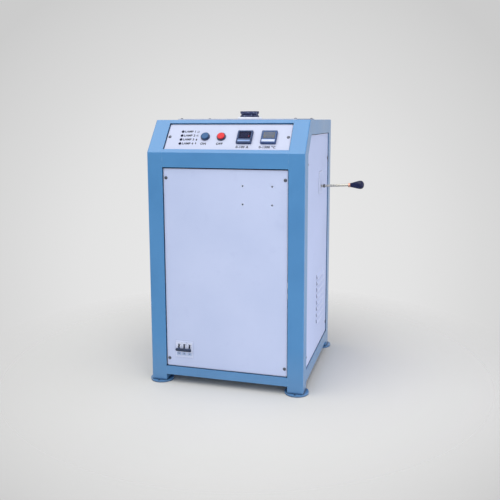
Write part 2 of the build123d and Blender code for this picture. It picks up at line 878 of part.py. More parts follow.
button_places = [(start_x, button_row), (stop_x, button_row)]
with BuildPart() as button_collars:
    with Locations(slope_face):
        with Locations(*button_places):
            Cone(collar_radius, collar_top_radius, collar_height, align=standing)
    with BuildSketch(slope_face):
        with Locations(*button_places):
            Circle(button_neck_radius)
    extrude(amount=-(collar_height + sheet))
    with BuildSketch(slope_face.offset(-(collar_height + sheet))):
        with Locations(*button_places):
            RectangleRounded(contact_block_size, contact_block_size, meter_corner)
    extrude(amount=-contact_block_depth)
    # recess for the cap, then the bore its stem slides in
    with BuildSketch(slope_face.offset(collar_height)):
        with Locations(*button_places):
            Circle(cap_radius + slide_clearance)
    cap_sink = collar_height - (cap_lift - button_travel - slide_clearance)
    extrude(amount=-cap_sink, mode=Mode.SUBTRACT)
    with BuildSketch(slope_face.offset(collar_height)):
        with Locations(*button_places):
            Circle(button_stem_radius + slide_clearance)
    stem_well = collar_height + sheet + stem_reach + button_travel + slide_clearance
    extrude(amount=-stem_well, mode=Mode.SUBTRACT)
save(button_collars, "button_collars")


def push_button(across):
    """Raised push-button cap with the stem that reaches down into its contact block."""
    with BuildPart() as button:
        with BuildSketch(slope_face.offset(cap_lift)):
            with Locations((across, button_row)):
                Circle(cap_radius)
        extrude(amount=cap_height)
        crown = faces().sort_by(Axis(slope_face.origin, slope_face.z_dir))[-1].edges()
        chamfer(crown, cap_chamfer)
        with BuildSketch(slope_face.offset(cap_lift)):
            with Locations((across, button_row)):
                Circle(button_stem_radius)
        extrude(amount=-(cap_lift + sheet + stem_reach))
    return button


start_button = push_button(start_x)
save(start_button, "start_button")
stop_button = push_button(stop_x)
save(stop_button, "stop_button")

with BuildPart() as indicator_lamps:
    lamp_places = [(lamp_x, row) for row in lamp_rows]
    with Locations(slope_face):
        with Locations(*lamp_places):
            Cone(lamp_bezel_radius, lamp_bezel_top_radius, lamp_bezel_height, align=standing)
    with Locations(slope_face.offset(lamp_bezel_height)):
        with Locations(*lamp_places):
            Cone(lamp_body_radius, lamp_lens_top_radius, lamp_lens_height, align=standing)
    with BuildSketch(slope_face):
        with Locations(*lamp_places):
            Circle(lamp_body_radius)
    extrude(amount=-lamp_body_length)
save(indicator_lamps, "indicator_lamps")

# ================================================================ breaker, rail and contactor
breaker_width = module_width * module_count
nose_y = front_y + panel_recess - breaker_nose_proud
rail_y = nose_y + breaker_depth - rail_depth / 2  # front of the mounting rail
toggle_y = nose_y + toggle_axis_depth
toggle_z = breaker_z + toggle_rise
module_xs = [breaker_x + (n - (module_count - 1) / 2) * module_width for n in range(module_count)]
nose_plane = Plane(origin=(0, nose_y, 0), x_dir=(1, 0, 0), z_dir=(0, -1, 0))

with BuildPart() as breaker_body:
    with BuildSketch(Plane.YZ.offset(breaker_x - breaker_width / 2)):
        outline(
            [
                (nose_y, breaker_z - breaker_nose_height / 2),
                (nose_y, breaker_z + breaker_nose_height / 2),
                (nose_y + breaker_nose_depth, breaker_z + breaker_nose_height / 2),
                (nose_y + breaker_nose_depth, breaker_z + breaker_height / 2),
                (nose_y + breaker_depth, breaker_z + breaker_height / 2),
                (nose_y + breaker_depth, breaker_z - breaker_height / 2),
                (nose_y + breaker_nose_depth, breaker_z - breaker_height / 2),
                (nose_y + breaker_nose_depth, breaker_z - breaker_nose_height / 2),
            ]
        )
        with Locations((rail_y + breaker_depth / 2 - rail_clearance, breaker_z)):
            Rectangle(breaker_depth, rail_width + 2 * rail_clearance, mode=Mode.SUBTRACT)
    extrude(amount=breaker_width)
    with BuildSketch(nose_plane):
        with Locations(*[(x, toggle_z) for x in module_xs]):
            Rectangle(toggle_slot_width, toggle_slot_height)
    extrude(amount=-toggle_slot_depth, mode=Mode.SUBTRACT)
    with BuildSketch(nose_plane):
        with Locations(*[(x + module_width / 2, breaker_z) for x in module_xs[:-1]]):
            Rectangle(module_groove, breaker_nose_height)
    extrude(amount=-module_groove, mode=Mode.SUBTRACT)
save(breaker_body, "breaker_body")

toggle_side = Plane(
    origin=(0, toggle_y, toggle_z),
    x_dir=(0, -cos(radians(toggle_swing)), -sin(radians(toggle_swing))),
    z_dir=(-1, 0, 0),
)
toggle_width = toggle_slot_width - 2 * toggle_clearance
with BuildPart() as breaker_toggle:
    for toggle_x in module_xs:
        with BuildSketch(toggle_side.offset(-toggle_x - toggle_width / 2)):
            Circle(toggle_hub_radius)
            outline(
                [
                    (0, -toggle_root),
                    (toggle_reach, -tie_bar_thickness / 2),
                    (toggle_reach, tie_bar_thickness / 2),
                    (0, toggle_root),
                ]
            )
        extrude(amount=toggle_width)
    tie_bar_back = toggle_side.from_local_coords((tie_bar_radius - tie_bar_thickness / 2, 0, 0))
    with BuildSketch(Plane(origin=tie_bar_back, x_dir=(1, 0, 0), z_dir=toggle_side.x_dir)):
        with Locations((breaker_x, tie_bar_rise)):
            RectangleRounded(breaker_width - 2 * tie_bar_inset, tie_bar_height, tie_bar_round)
    extrude(amount=tie_bar_thickness)
save(breaker_toggle, "breaker_toggle")

tray_top = rail_underside + tray_thickness
with BuildPart() as din_rail:
    with BuildSketch(Plane.YZ.offset(rail_left)):
        flange = (rail_width - rail_hat) / 2
        for sign in (-1, 1):
            with Locations((rail_y + rail_sheet / 2, breaker_z + sign * (rail_width - flange) / 2)):
                Rectangle(rail_sheet, flange)
            with Locations((rail_y + rail_depth / 2, breaker_z + sign * (rail_hat - rail_sheet) / 2)):
                Rectangle(rail_depth, rail_sheet)
        with Locations((rail_y + rail_depth - rail_sheet / 2, breaker_z)):
            Rectangle(rail_sheet, rail_hat)
    extrude(amount=rail_right - rail_left)
    leg_y = rail_y + rail_depth
    for bracket_x in (rail_left + rail_leg_width / 2, rail_right - rail_leg_width / 2):
        with BuildSketch(Plane.XY.offset(tray_top)):
            with Locations((bracket_x, leg_y + bracket_sheet / 2)):
                Rectangle(rail_leg_width, bracket_sheet)
        extrude(amount=breaker_z + rail_hat / 2 - tray_top)
        with BuildSketch(Plane.XY.offset(tray_top)):
            with Locations((bracket_x, leg_y + rail_leg_foot / 2)):
                Rectangle(rail_leg_width, rail_leg_foot)
        extrude(amount=bracket_sheet)
save(din_rail, "din_rail")

contactor_front = nose_y + contactor_set_back
contactor_step_y = contactor_front + contactor_step
contactor_back = rail_y + rail_depth / 2
with BuildPart() as contactor:
    with BuildSketch(Plane.YZ.offset(contactor_x - contactor_width / 2)):
        outline(
            [
                (contactor_front, breaker_z - contactor_height / 4),
                (contactor_front, breaker_z + contactor_height / 4),
                (contactor_step_y, breaker_z + contactor_height / 4),
                (contactor_step_y, breaker_z + contactor_height / 2),
                (contactor_back, breaker_z + contactor_height / 2),
                (contactor_back, breaker_z - contactor_height / 2),
                (contactor_step_y, breaker_z - contactor_height / 2),
                (contactor_step_y, breaker_z - contactor_height / 4),
            ]
        )
        with Locations((rail_y + breaker_depth / 2 - rail_clearance, breaker_z)):
            Rectangle(breaker_depth, rail_width + 2 * rail_clearance, mode=Mode.SUBTRACT)
    extrude(amount=contactor_width)
    with BuildSketch(nose_plane.offset(nose_y - contactor_step_y)):
        with Locations((contactor_x, breaker_z)):
            with GridLocations(contactor_width / 4, contactor_terminal_rows, 3, 2):
                Rectangle(contactor_terminal_width, contactor_terminal_height)
    extrude(amount=-contactor_terminal_depth, mode=Mode.SUBTRACT)
save(contactor, "contactor")

# ================================================================ melting well
collar_top = board_top + collar_flange
rim_base = collar_top + rim_clearance
crucible_top = rim_base + crucible_rim_height
crucible_bottom = crucible_top - crucible_height
pedestal_bottom = crucible_bottom - pedestal_height
well_axis = Axis((0, well_y, 0), (0, 0, 1))
well_section = Plane(origin=(0, well_y, 0), x_dir=(1, 0, 0), z_dir=(0, -1, 0))


def turned(points):
    """Turn a (radius, height) outline about the well's axis."""
    with BuildSketch(well_section) as profile:
        outline(points)
    revolve(profile.sketch, axis=well_axis)


with BuildPart() as crucible_collar:
    turned(
        [
            (collar_bore_radius, board_underside),
            (collar_spigot_radius, board_underside),
            (collar_spigot_radius, board_top),
            (collar_outer_radius, board_top),
            (collar_outer_radius, collar_top - small_chamfer),
            (collar_outer_radius - small_chamfer, collar_top),
            (collar_bore_radius, collar_top),
        ]
    )
save(crucible_collar, "crucible_collar")

with BuildPart() as crucible:
    bore_floor = crucible_bottom + crucible_floor
    turned(
        [
            (0, crucible_bottom),
            (crucible_body_radius - crucible_base_bevel, crucible_bottom),
            (crucible_body_radius, crucible_bottom + crucible_base_bevel),
            (crucible_body_radius, rim_base),
            (crucible_rim_radius, rim_base),
            (crucible_rim_radius, rim_base + crucible_rim_edge),
            (crucible_neck_radius, crucible_top),
            (crucible_bore_radius, crucible_top),
            (crucible_bore_radius, bore_floor + crucible_floor_bevel),
            (crucible_bore_radius - crucible_floor_bevel, bore_floor),
            (0, bore_floor),
        ]
    )
save(crucible, "crucible")

with BuildPart() as crucible_lid:
    lid_plug_radius = crucible_bore_radius - lid_spigot_clearance
    turned(
        [
            (lid_vent_radius, crucible_top - lid_spigot),
            (lid_plug_radius - small_chamfer, crucible_top - lid_spigot),
            (lid_plug_radius, crucible_top),
            (crucible_neck_radius, crucible_top),
            (crucible_rim_radius, crucible_top + lid_bevel),
            (crucible_rim_radius, crucible_top + lid_height - small_chamfer),
            (crucible_rim_radius - small_chamfer, crucible_top + lid_height),
            (lid_vent_radius, crucible_top + lid_height),
        ]
    )
save(crucible_lid, "crucible_lid")

with BuildPart() as coil_sleeve:
    with BuildSketch(Plane.XY.offset(deck_top)):
        with Locations((0, well_y)):
            Circle(sleeve_inner_radius + sleeve_wall)
            Circle(sleeve_inner_radius, mode=Mode.SUBTRACT)
    extrude(amount=board_underside - deck_top)
save(coil_sleeve, "coil_sleeve")

with BuildPart() as coil_deck:
    with BuildSketch(Plane.XY.offset(deck_top - deck_thickness)):
        with Locations((0, well_y)):
            RectangleRounded(deck_size, deck_size, panel_corner)
            Circle(lift_rod_radius + rod_hole_clearance, mode=Mode.SUBTRACT)
    extrude(amount=deck_thickness)
    # pillars that hang the deck under the top board
    with BuildSketch(Plane.XY.offset(deck_top)):
        with Locations((0, well_y)):
            with GridLocations(standoff_spacing, standoff_spacing, 2, 2):
                RegularPolygon(standoff_radius, 6)
    extrude(amount=board_underside - deck_top)
save(coil_deck, "coil_deck")

# Induction coil: square copper tube, wound up from its lower tail, both tails leading to -X.
coil_radius = sleeve_inner_radius + sleeve_wall + coil_gap + coil_tube / 2
coil_low = deck_top + coil_tube / 2 + coil_seat
coil_high = coil_low + coil_turns * coil_pitch
beam_top = beam_seat + beam_height
transformer_top = beam_top + transformer_height
tail_end_x = transformer_x + transformer_width / 2
coil_sections = []
for bend in range(round(coil_turns * coil_bends) + 1):
    turned_by = 2 * pi * bend / coil_bends
    outward = Vector(sin(turned_by), -cos(turned_by), 0)
    middle = Vector(0, well_y, coil_low + coil_pitch * bend / coil_bends) + outward * coil_radius
    with BuildSketch(Plane(origin=middle, x_dir=outward, z_dir=outward.rotate(Axis.Z, 90))) as section:
        Rectangle(coil_tube, coil_tube)
    coil_sections.append(section.sketch)


def copper_bar(plane, length):
    """Straight stretch of the coil's square tube, along the plane's normal."""
    with BuildSketch(plane) as end:
        Rectangle(coil_tube, coil_tube)
    extrude(end.sketch, amount=length)


with BuildPart() as induction_coil:
    loft(coil_sections, ruled=True)
    copper_bar(along_x(tail_end_x, well_y - coil_radius, coil_low), coil_joint - tail_end_x)
    copper_bar(along_x(transformer_x, well_y + coil_radius, coil_high), coil_joint - transformer_x)
    strap_foot = Plane(origin=(transformer_x, well_y + coil_radius, transformer_top))
    copper_bar(strap_foot, coil_high - transformer_top)
save(induction_coil, "induction_coil")

with BuildPart() as pedestal:
    turned(
        [
            (lift_rod_radius + running_clearance, pedestal_bottom),
            (pedestal_radius - pedestal_chamfer, pedestal_bottom),
            (pedestal_radius, pedestal_bottom + pedestal_chamfer),
            (pedestal_radius, crucible_bottom),
            (0, crucible_bottom),
            (0, pedestal_bottom + pedestal_socket),
            (lift_rod_radius + running_clearance, pedestal_bottom + pedestal_socket),
        ]
    )
save(pedestal, "pedestal")

# ================================================================ lever and lift
# The inner arm swings evenly about level, so the cross pin rises almost in a straight line.
half_swing = radians(lever_half_swing)
arm_length = 2 * pivot_x / (1 + cos(half_swing))
arm_end = (-arm_length * cos(half_swing), -arm_length * sin(half_swing))
cross_pin_x = pivot_x + arm_end[0]
cross_pin_z = pivot_z + arm_end[1]
lift = 2 * arm_length * sin(half_swing)
pivot = (pivot_x, well_y, pivot_z)
handle_direction = (cos(radians(handle_rise)), 0, sin(radians(handle_rise)))
lever_side = Plane(origin=pivot, x_dir=(1, 0, 0), z_dir=(0, -1, 0))
handle_side = Plane(origin=pivot, x_dir=handle_direction, z_dir=(0, -1, 0))
handle_end = Plane(origin=pivot, x_dir=(0, 1, 0), z_dir=handle_direction)
pivot_hole_radius = pivot_pin_radius + running_clearance
cheek_inner = lever_hub_width / 2 + bracket_gap
cheek_outer = cheek_inner + bracket_sheet

with BuildPart() as lever_arm:
    with BuildSketch(lever_side):
        Circle(lever_hub_radius)
    extrude(amount=lever_hub_width / 2, both=True)
    with BuildSketch(lever_side):
        Circle(lever_hub_radius - lever_web_inset)
        with Locations(arm_end):
            Circle(lever_eye_radius)
        make_hull()
    extrude(amount=lever_arm_thickness / 2, both=True)
    with BuildSketch(handle_end):
        Circle(boss_radius)
    extrude(amount=boss_reach)
    with BuildSketch(handle_end.offset(rod_socket)):
        Circle(rod_radius + running_clearance)
    extrude(amount=boss_reach, mode=Mode.SUBTRACT)
    with BuildSketch(lever_side):
        Circle(pivot_hole_radius)
        with Locations(arm_end):
            Circle(cross_pin_radius + running_clearance)
    extrude(amount=lever_hub_width, both=True, mode=Mode.SUBTRACT)
save(lever_arm, "lever_arm")

nut_far = rod_reach + lock_nut_length
rod_in_knob = knob_length / 3
with BuildPart() as lever_rod:
    with BuildSketch(handle_end.offset(rod_socket)):
        Circle(rod_radius)
    extrude(amount=nut_far + rod_in_knob - rod_socket)
save(lever_rod, "lever_rod")

with BuildPart() as lever_nut:
    with BuildSketch(handle_end.offset(rod_reach)):
        RegularPolygon(lock_nut_flats / 2, 6, major_radius=False)
        Circle(rod_radius + running_clearance, mode=Mode.SUBTRACT)
    extrude(amount=lock_nut_length)
save(lever_nut, "lever_nut")

with BuildPart() as lever_knob:
    knob_bore = rod_radius + running_clearance
    knob_far = nut_far + knob_length
    knob_profile = [
        (nut_far + rod_in_knob, 0),
        (nut_far + rod_in_knob, knob_bore),
        (nut_far, knob_bore),
    ]
    knob_profile.append((nut_far, knob_neck_radius))
    for step in range(knob_steps):
        turn = pi / 2 * step / knob_steps
        knob_profile.append(
            (knob_far - knob_end_length * (1 - sin(turn)), knob_radius * cos(turn))
        )
    knob_profile.append((knob_far, 0))
    with BuildSketch(handle_side):
        outline(knob_profile)
    revolve(axis=Axis(pivot, handle_direction))
save(lever_knob, "lever_knob")


def headed_pin(middle, radius, between_heads, head_radius):
    """Plain pin along Y with a thin head at each end."""
    side = Plane(origin=middle, x_dir=(1, 0, 0), z_dir=(0, -1, 0))
    with BuildPart() as pin:
        with BuildSketch(side):
            Circle(radius)
        extrude(amount=between_heads / 2, both=True)
        for start in (between_heads / 2, -between_heads / 2 - pin_head):
            with BuildSketch(side.offset(start)):
                Circle(head_radius)
            extrude(amount=pin_head)
    return pin


pivot_pin = headed_pin(pivot, pivot_pin_radius, 2 * cheek_outer, pivot_head_radius)
save(pivot_pin, "pivot_pin")

cross_middle = (cross_pin_x, well_y, cross_pin_z)
cross_pin_length = yoke_depth + 2 * bracket_gap
cross_pin = headed_pin(cross_middle, cross_pin_radius, cross_pin_length, cross_head_radius)
save(cross_pin, "cross_pin")

bracket_rise = beam_seat - mid_rail_height - pivot_z
with BuildPart() as lever_bracket:
    for start in (cheek_inner, -cheek_outer):
        with BuildSketch(lever_side.offset(start)):
            Circle(bracket_width / 2)
            with Locations((0, bracket_rise / 2)):
                Rectangle(bracket_width, bracket_rise)
            Circle(pivot_hole_radius, mode=Mode.SUBTRACT)
        extrude(amount=bracket_sheet)
    with BuildSketch(Plane.XY.offset(beam_seat - mid_rail_height)):
        with Locations((pivot_x, well_y)):
            Rectangle(bracket_width, 2 * cheek_outer)
    extrude(amount=-bracket_sheet)
save(lever_bracket, "lever_bracket")

with BuildPart() as guide_beam:
    beam_end_x = mid_rail_x + mid_rail_width / 2
    with BuildSketch(Plane.YZ.offset(-beam_end_x)):
        with Locations((well_y, beam_seat + beam_height / 2)):
            Rectangle(beam_width, beam_height)
        with Locations((well_y, beam_seat + (beam_height - beam_wall) / 2)):
            Rectangle(beam_width - 2 * beam_wall, beam_height - beam_wall, mode=Mode.SUBTRACT)
    extrude(amount=2 * beam_end_x)
    with BuildSketch(Plane.XY.offset(beam_top)):
        with Locations((0, well_y)):
            Circle(bush_radius + running_clearance)
    extrude(amount=-beam_height, mode=Mode.SUBTRACT)
save(guide_beam, "guide_beam")

with BuildPart() as guide_bush:
    guide_bore = lift_rod_radius + running_clearance
    turned(
        [
            (guide_bore, beam_seat - bush_below),
            (bush_radius, beam_seat - bush_below),
            (bush_radius, beam_top),
            (bush_flange_radius, beam_top),
            (bush_flange_radius, beam_top + bush_flange),
            (bush_radius, beam_top + bush_flange),
            (bush_radius, beam_top + bush_above),
            (guide_bore, beam_top + bush_above),
        ]
    )
save(guide_bush, "guide_bush")

yoke_top = cross_pin_z + yoke_above
yoke_bottom = cross_pin_z - yoke_below
pin_slot_high = 2 * (cross_pin_radius + cross_pin_slot_clearance)
pin_slot_width = pin_slot_high + 2 * (cross_pin_x + cross_pin_end_clearance)
with BuildPart() as lift_yoke:
    with BuildSketch(Plane.XY.offset(yoke_bottom)):
        with Locations((0, well_y)):
            Rectangle(yoke_width, yoke_depth)
    extrude(amount=yoke_top - yoke_bottom)
    with BuildSketch(Plane.XY.offset(yoke_bottom)):
        with Locations((0, well_y)):
            Rectangle(yoke_width, lever_arm_thickness + 2 * bracket_gap)
    extrude(amount=yoke_top - yoke_roof - yoke_bottom, mode=Mode.SUBTRACT)
    with BuildSketch(Plane(origin=(0, well_y, cross_pin_z), x_dir=(1, 0, 0), z_dir=(0, -1, 0))):
        SlotOverall(pin_slot_width, pin_slot_high)
    extrude(amount=yoke_depth, both=True, mode=Mode.SUBTRACT)
save(lift_yoke, "lift_yoke")

with BuildPart() as lift_rod:
    with BuildSketch(Plane.XY.offset(yoke_top)):
        with Locations((0, well_y)):
            Circle(lift_rod_radius)
    extrude(amount=pedestal_bottom + pedestal_socket - yoke_top)
save(lift_rod, "lift_rod")

# ================================================================ power unit
with BuildPart() as output_transformer:
    core_middle = beam_top + transformer_height / 2
    core_plane = Plane(origin=(transformer_x, well_y, core_middle), x_dir=(1, 0, 0), z_dir=(0, -1, 0))
    with BuildSketch(core_plane):
        Rectangle(transformer_width, transformer_height)
        with GridLocations(transformer_width / 2, 0, 2, 1):
            Rectangle(transformer_window, transformer_window_height, mode=Mode.SUBTRACT)
    extrude(amount=core_depth / 2, both=True)
    with BuildSketch(core_plane):
        RectangleRounded(transformer_width / 2 + transformer_window, winding_height, winding_corner)
    extrude(amount=transformer_depth / 2, both=True)
    with BuildSketch(Plane.XY.offset(transformer_top)):
        with Locations((transformer_x, well_y + coil_radius)):
            Rectangle(2 * coil_tube, 2 * coil_tube)
    extrude(amount=-transformer_height / 2)
save(output_transformer, "output_transformer")

with BuildPart() as capacitor_bank:
    with BuildSketch(Plane.XY.offset(tray_top)):
        with Locations((capacitor_x, capacitor_y)):
            with GridLocations(capacitor_pitch, 0, capacitor_count, 1):
                RectangleRounded(capacitor_thickness, capacitor_length, case_corner)
    extrude(amount=capacitor_height)
    bus_plane = Plane.XY.offset(tray_top + capacitor_height)
    with BuildSketch(bus_plane):
        with Locations((capacitor_x, capacitor_y)):
            with GridLocations(0, capacitor_length / 2, 1, 2):
                Rectangle(capacitor_pitch * capacitor_count, capacitor_length / 4)
    extrude(amount=bus_thickness)
    with BuildSketch(bus_plane.offset(bus_thickness)):
        with Locations((capacitor_x, capacitor_y)):
            with GridLocations(capacitor_pitch, capacitor_length / 2, capacitor_count, 2):
                RegularPolygon(stud_radius, 6)
    extrude(amount=stud_height)
save(capacitor_bank, "capacitor_bank")

with BuildPart() as inverter_unit:
    with BuildSketch(Plane.XZ.offset(-(sink_y + sink_length / 2))):
        with Locations((sink_x, tray_top + fin_height + sink_base / 2)):
            Rectangle(sink_width, sink_base)
        with Locations((sink_x, tray_top + fin_height / 2)):
            with GridLocations((sink_width - fin_thickness) / (fin_count - 1), 0, fin_count, 1):
                Rectangle(fin_thickness, fin_height)
    extrude(amount=sink_length)
    sink_top = tray_top + fin_height + sink_base
    with BuildSketch(Plane.XY.offset(sink_top)):
        with Locations((sink_x, sink_y)):
            with GridLocations(module_pitch, 0, 2, 1):
                RectangleRounded(module_broad, module_length, case_corner)
    extrude(amount=module_height)
    with BuildSketch(Plane.XY.offset(sink_top + module_height)):
        with Locations((sink_x, sink_y)):
            with GridLocations(0, module_length / 2, 1, 2):
                Rectangle(module_bus_length, module_bus_width)
    extrude(amount=bus_thickness)
save(inverter_unit, "inverter_unit")

with BuildPart() as control_board:
    post_span = 2 * circuit_post_inset
    with BuildSketch(Plane.XY.offset(sink_top)):
        with Locations((sink_x, sink_y)):
            with GridLocations(circuit_width - post_span, circuit_length - post_span, 2, 2):
                RegularPolygon(stud_radius, 6)
    extrude(amount=circuit_post)
    with BuildSketch(Plane.XY.offset(sink_top + circuit_post)):
        with Locations((sink_x, sink_y)):
            RectangleRounded(circuit_width, circuit_length, case_corner)
    extrude(amount=circuit_sheet)
    circuit_face = Plane.XY.offset(sink_top + circuit_post + circuit_sheet)
    with BuildSketch(circuit_face):
        with Locations(*[(sink_x + x, sink_y + y) for x, y in relay_places]):
            Rectangle(relay_width, relay_length)
    extrude(amount=relay_height)
    with BuildSketch(circuit_face):
        with Locations((sink_x + smoothing_x, sink_y)):
            with GridLocations(*smoothing_pitch, smoothing_columns, smoothing_rows):
                RegularPolygon(smoothing_radius, 8)
    extrude(amount=smoothing_height)
    with BuildSketch(circuit_face):
        with Locations((sink_x, sink_y + terminal_strip_y)):
            Rectangle(terminal_strip_length, terminal_strip_depth)
    extrude(amount=terminal_strip_height)
save(control_board, "control_board")

# ================================================================ fan
fan_plane = rear_face.offset(-sheet)
fan_middle = (-fan_x, fan_z)
with BuildPart() as fan_frame:
    with BuildSketch(fan_plane):
        with Locations(fan_middle):
            RectangleRounded(fan_size, fan_size, panel_corner)
            Circle(fan_bore_radius, mode=Mode.SUBTRACT)
        screw_holes(fan_corners)
    extrude(amount=-fan_depth)
    with BuildSketch(fan_plane.offset(-fan_depth)):
        with Locations(fan_middle):
            for turn in (-45, 45):
                Rectangle(2 * fan_bore_radius + fan_strut_depth, fan_strut_width, rotation=turn)
            Circle(fan_hub_radius)
            Circle(fan_shaft_radius + running_clearance, mode=Mode.SUBTRACT)
    extrude(amount=fan_strut_depth)
save(fan_frame, "fan_frame")

with BuildPart() as fan_rotor:
    hub_back = fan_depth - fan_strut_depth - fan_rotor_gap
    with BuildSketch(fan_plane.offset(-hub_back)):
        with Locations(fan_middle):
            Circle(fan_hub_radius)
    extrude(amount=hub_back - fan_hub_front)
    with BuildSketch(fan_plane.offset(-fan_depth)):
        with Locations(fan_middle):
            Circle(fan_shaft_radius)
    extrude(amount=fan_depth - fan_hub_front)
    blade_root = fan_hub_radius - fan_blade_thickness
    blade_chord = hub_back - fan_hub_front - fan_blade_trim
    blade_middle_y = rear_y - panel_recess - sheet - (hub_back + fan_hub_front) / 2
    for blade in range(fan_blades):
        spoke = radians(360 / fan_blades * blade)
        outward = (cos(spoke), 0, sin(spoke))
        root = (fan_x + blade_root * cos(spoke), blade_middle_y, fan_z + blade_root * sin(spoke))
        with BuildSketch(Plane(origin=root, x_dir=(0, 1, 0), z_dir=outward)):
            Rectangle(blade_chord, fan_blade_thickness, rotation=fan_blade_angle)
        extrude(amount=fan_bore_radius - fan_tip_clearance - blade_root)
save(fan_rotor, "fan_rotor")

# ================================================================ water and mains entries
with BuildPart() as water_fittings:
    fitting_places = [(-x, fitting_z) for x in fitting_xs]
    inner_tail = fitting_nut + tail_length / 2
    with BuildSketch(rear_face):
        with Locations(*fitting_places):
            RegularPolygon(fitting_nut_flats / 2, 6, major_radius=False)
    extrude(amount=fitting_nut)
    with BuildSketch(fan_plane):
        with Locations(*fitting_places):
            RegularPolygon(fitting_nut_flats / 2, 6, major_radius=False)
    extrude(amount=-fitting_nut)
    with BuildSketch(fan_plane.offset(-inner_tail)):
        with Locations(*fitting_places):
            Circle(tail_radius)
    extrude(amount=inner_tail + sheet + fitting_nut + tail_length)
    with BuildSketch(fan_plane.offset(-inner_tail)):
        with Locations(*fitting_places):
            Circle(tail_bore)
    extrude(amount=inner_tail + sheet + fitting_nut + tail_length, mode=Mode.SUBTRACT)
save(water_fittings, "water_fittings")

with BuildPart() as cable_gland:
    gland_place = (-gland_x, gland_z)
    with BuildSketch(rear_face):
        with Locations(gland_place):
            RegularPolygon(gland_nut_flats / 2, 6, major_radius=False)
    extrude(amount=gland_nut)
    with Locations(rear_face.offset(gland_nut)):
        with Locations(gland_place):
            gland_dome_radius = gland_nut_flats / 2 - small_chamfer
            Cone(gland_dome_radius, gland_dome_top_radius, gland_dome, align=standing)
    with BuildSketch(fan_plane):
        with Locations(gland_place):
            RegularPolygon(gland_nut_flats / 2, 6, major_radius=False)
    extrude(amount=-gland_nut)
    with BuildSketch(fan_plane):
        with Locations(gland_place):
            Circle(gland_radius)
    extrude(amount=sheet)
    with BuildSketch(fan_plane.offset(-gland_nut)):
        with Locations(gland_place):
            Circle(gland_bore)
    extrude(amount=2 * gland_nut + sheet + gland_dome, mode=Mode.SUBTRACT)
save(cable_gland, "cable_gland")


def water_pipe(points):
    """Hose between a rear fitting and one end of the coil, bent with one radius throughout."""
    start, next_point = Vector(*points[0]), Vector(*points[1])
    with BuildLine() as route:
        FilletPolyline(*points, radius=pipe_bend)
    with BuildSketch(Plane(origin=start, z_dir=next_point - start)) as section:
        RegularPolygon(pipe_radius, pipe_sides)
    sweep(section.sketch, path=route.line)


pipe_start_y = rear_y - panel_recess - sheet - inner_tail
pipe_back_y = pipe_start_y - pipe_run_in
pipe_cross_z = cross_pin_z + pipe_above_pin
low_tail_y = well_y - coil_radius
high_tail_y = well_y + coil_radius
strap_middle_z = (transformer_top + coil_high) / 2
with BuildPart() as cooling_pipes:
    water_pipe(
        [
            (fitting_xs[0], pipe_start_y, fitting_z),
            (fitting_xs[0], pipe_back_y, fitting_z),
            (fitting_xs[0], pipe_back_y, pipe_cross_z),
            (transformer_x, pipe_back_y, pipe_cross_z + pipe_lead_rise),
            (transformer_x, pipe_back_y, strap_middle_z),
            (transformer_x, high_tail_y + coil_tube / 2, strap_middle_z),
        ]
    )
    water_pipe(
        [
            (fitting_xs[1], pipe_start_y, fitting_z),
            (fitting_xs[1], pipe_back_y, fitting_z),
            (fitting_xs[1], pipe_back_y, pipe_cross_z),
            (fitting_xs[1], low_tail_y, pipe_cross_z),
            (fitting_xs[1], low_tail_y, coil_low - coil_tube / 2),
        ]
    )
save(cooling_pipes, "cooling_pipes")

lift_ratio = lift / 1000 / (2 * half_swing)
print(f"lift {lift:.2f} mm over {2 * lever_half_swing:.1f} degrees, {lift_ratio:.6f} m per radian")
print(f"cross pin at X {cross_pin_x:.2f}, Z {cross_pin_z:.2f}")
print(f"crucible floor {bore_floor:.2f}, crucible top {crucible_top:.2f}")
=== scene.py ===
# %% [markdown]
# # Electric gold melting furnace, dressed for rendering
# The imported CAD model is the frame: every piece made here sits on it and rides on one of its bodies.
# Lengths are in millimetres and go through a place, a matrix that turns them into Blender's metres.
# The cells go from helpers to materials, then to the pieces, and end with the studio.

# %% Load the frame
import json
import math

import bmesh
import bpy
from mathutils import Matrix, Vector


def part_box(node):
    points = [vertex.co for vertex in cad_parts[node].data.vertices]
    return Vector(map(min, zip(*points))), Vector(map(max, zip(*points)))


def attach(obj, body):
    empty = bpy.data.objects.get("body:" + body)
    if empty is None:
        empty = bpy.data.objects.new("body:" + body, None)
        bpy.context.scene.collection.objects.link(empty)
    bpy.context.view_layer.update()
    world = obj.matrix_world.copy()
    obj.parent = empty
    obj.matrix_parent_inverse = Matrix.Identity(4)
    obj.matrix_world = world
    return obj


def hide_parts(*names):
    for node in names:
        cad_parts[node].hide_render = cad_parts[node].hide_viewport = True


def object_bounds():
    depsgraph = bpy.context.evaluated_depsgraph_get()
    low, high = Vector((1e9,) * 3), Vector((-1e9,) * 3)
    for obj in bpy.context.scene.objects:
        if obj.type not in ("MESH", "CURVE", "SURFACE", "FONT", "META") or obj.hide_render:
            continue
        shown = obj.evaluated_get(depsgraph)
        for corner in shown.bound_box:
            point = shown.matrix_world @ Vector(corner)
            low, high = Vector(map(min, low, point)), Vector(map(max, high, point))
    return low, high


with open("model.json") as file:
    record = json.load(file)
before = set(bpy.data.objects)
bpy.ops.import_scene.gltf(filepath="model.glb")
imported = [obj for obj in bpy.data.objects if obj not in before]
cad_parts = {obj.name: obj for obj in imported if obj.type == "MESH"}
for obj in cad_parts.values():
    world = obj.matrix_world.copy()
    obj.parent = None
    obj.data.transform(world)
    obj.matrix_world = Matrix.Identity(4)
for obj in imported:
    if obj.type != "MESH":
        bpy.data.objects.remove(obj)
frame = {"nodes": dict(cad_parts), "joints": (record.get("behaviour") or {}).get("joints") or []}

MM = 0.001
cad_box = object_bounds()

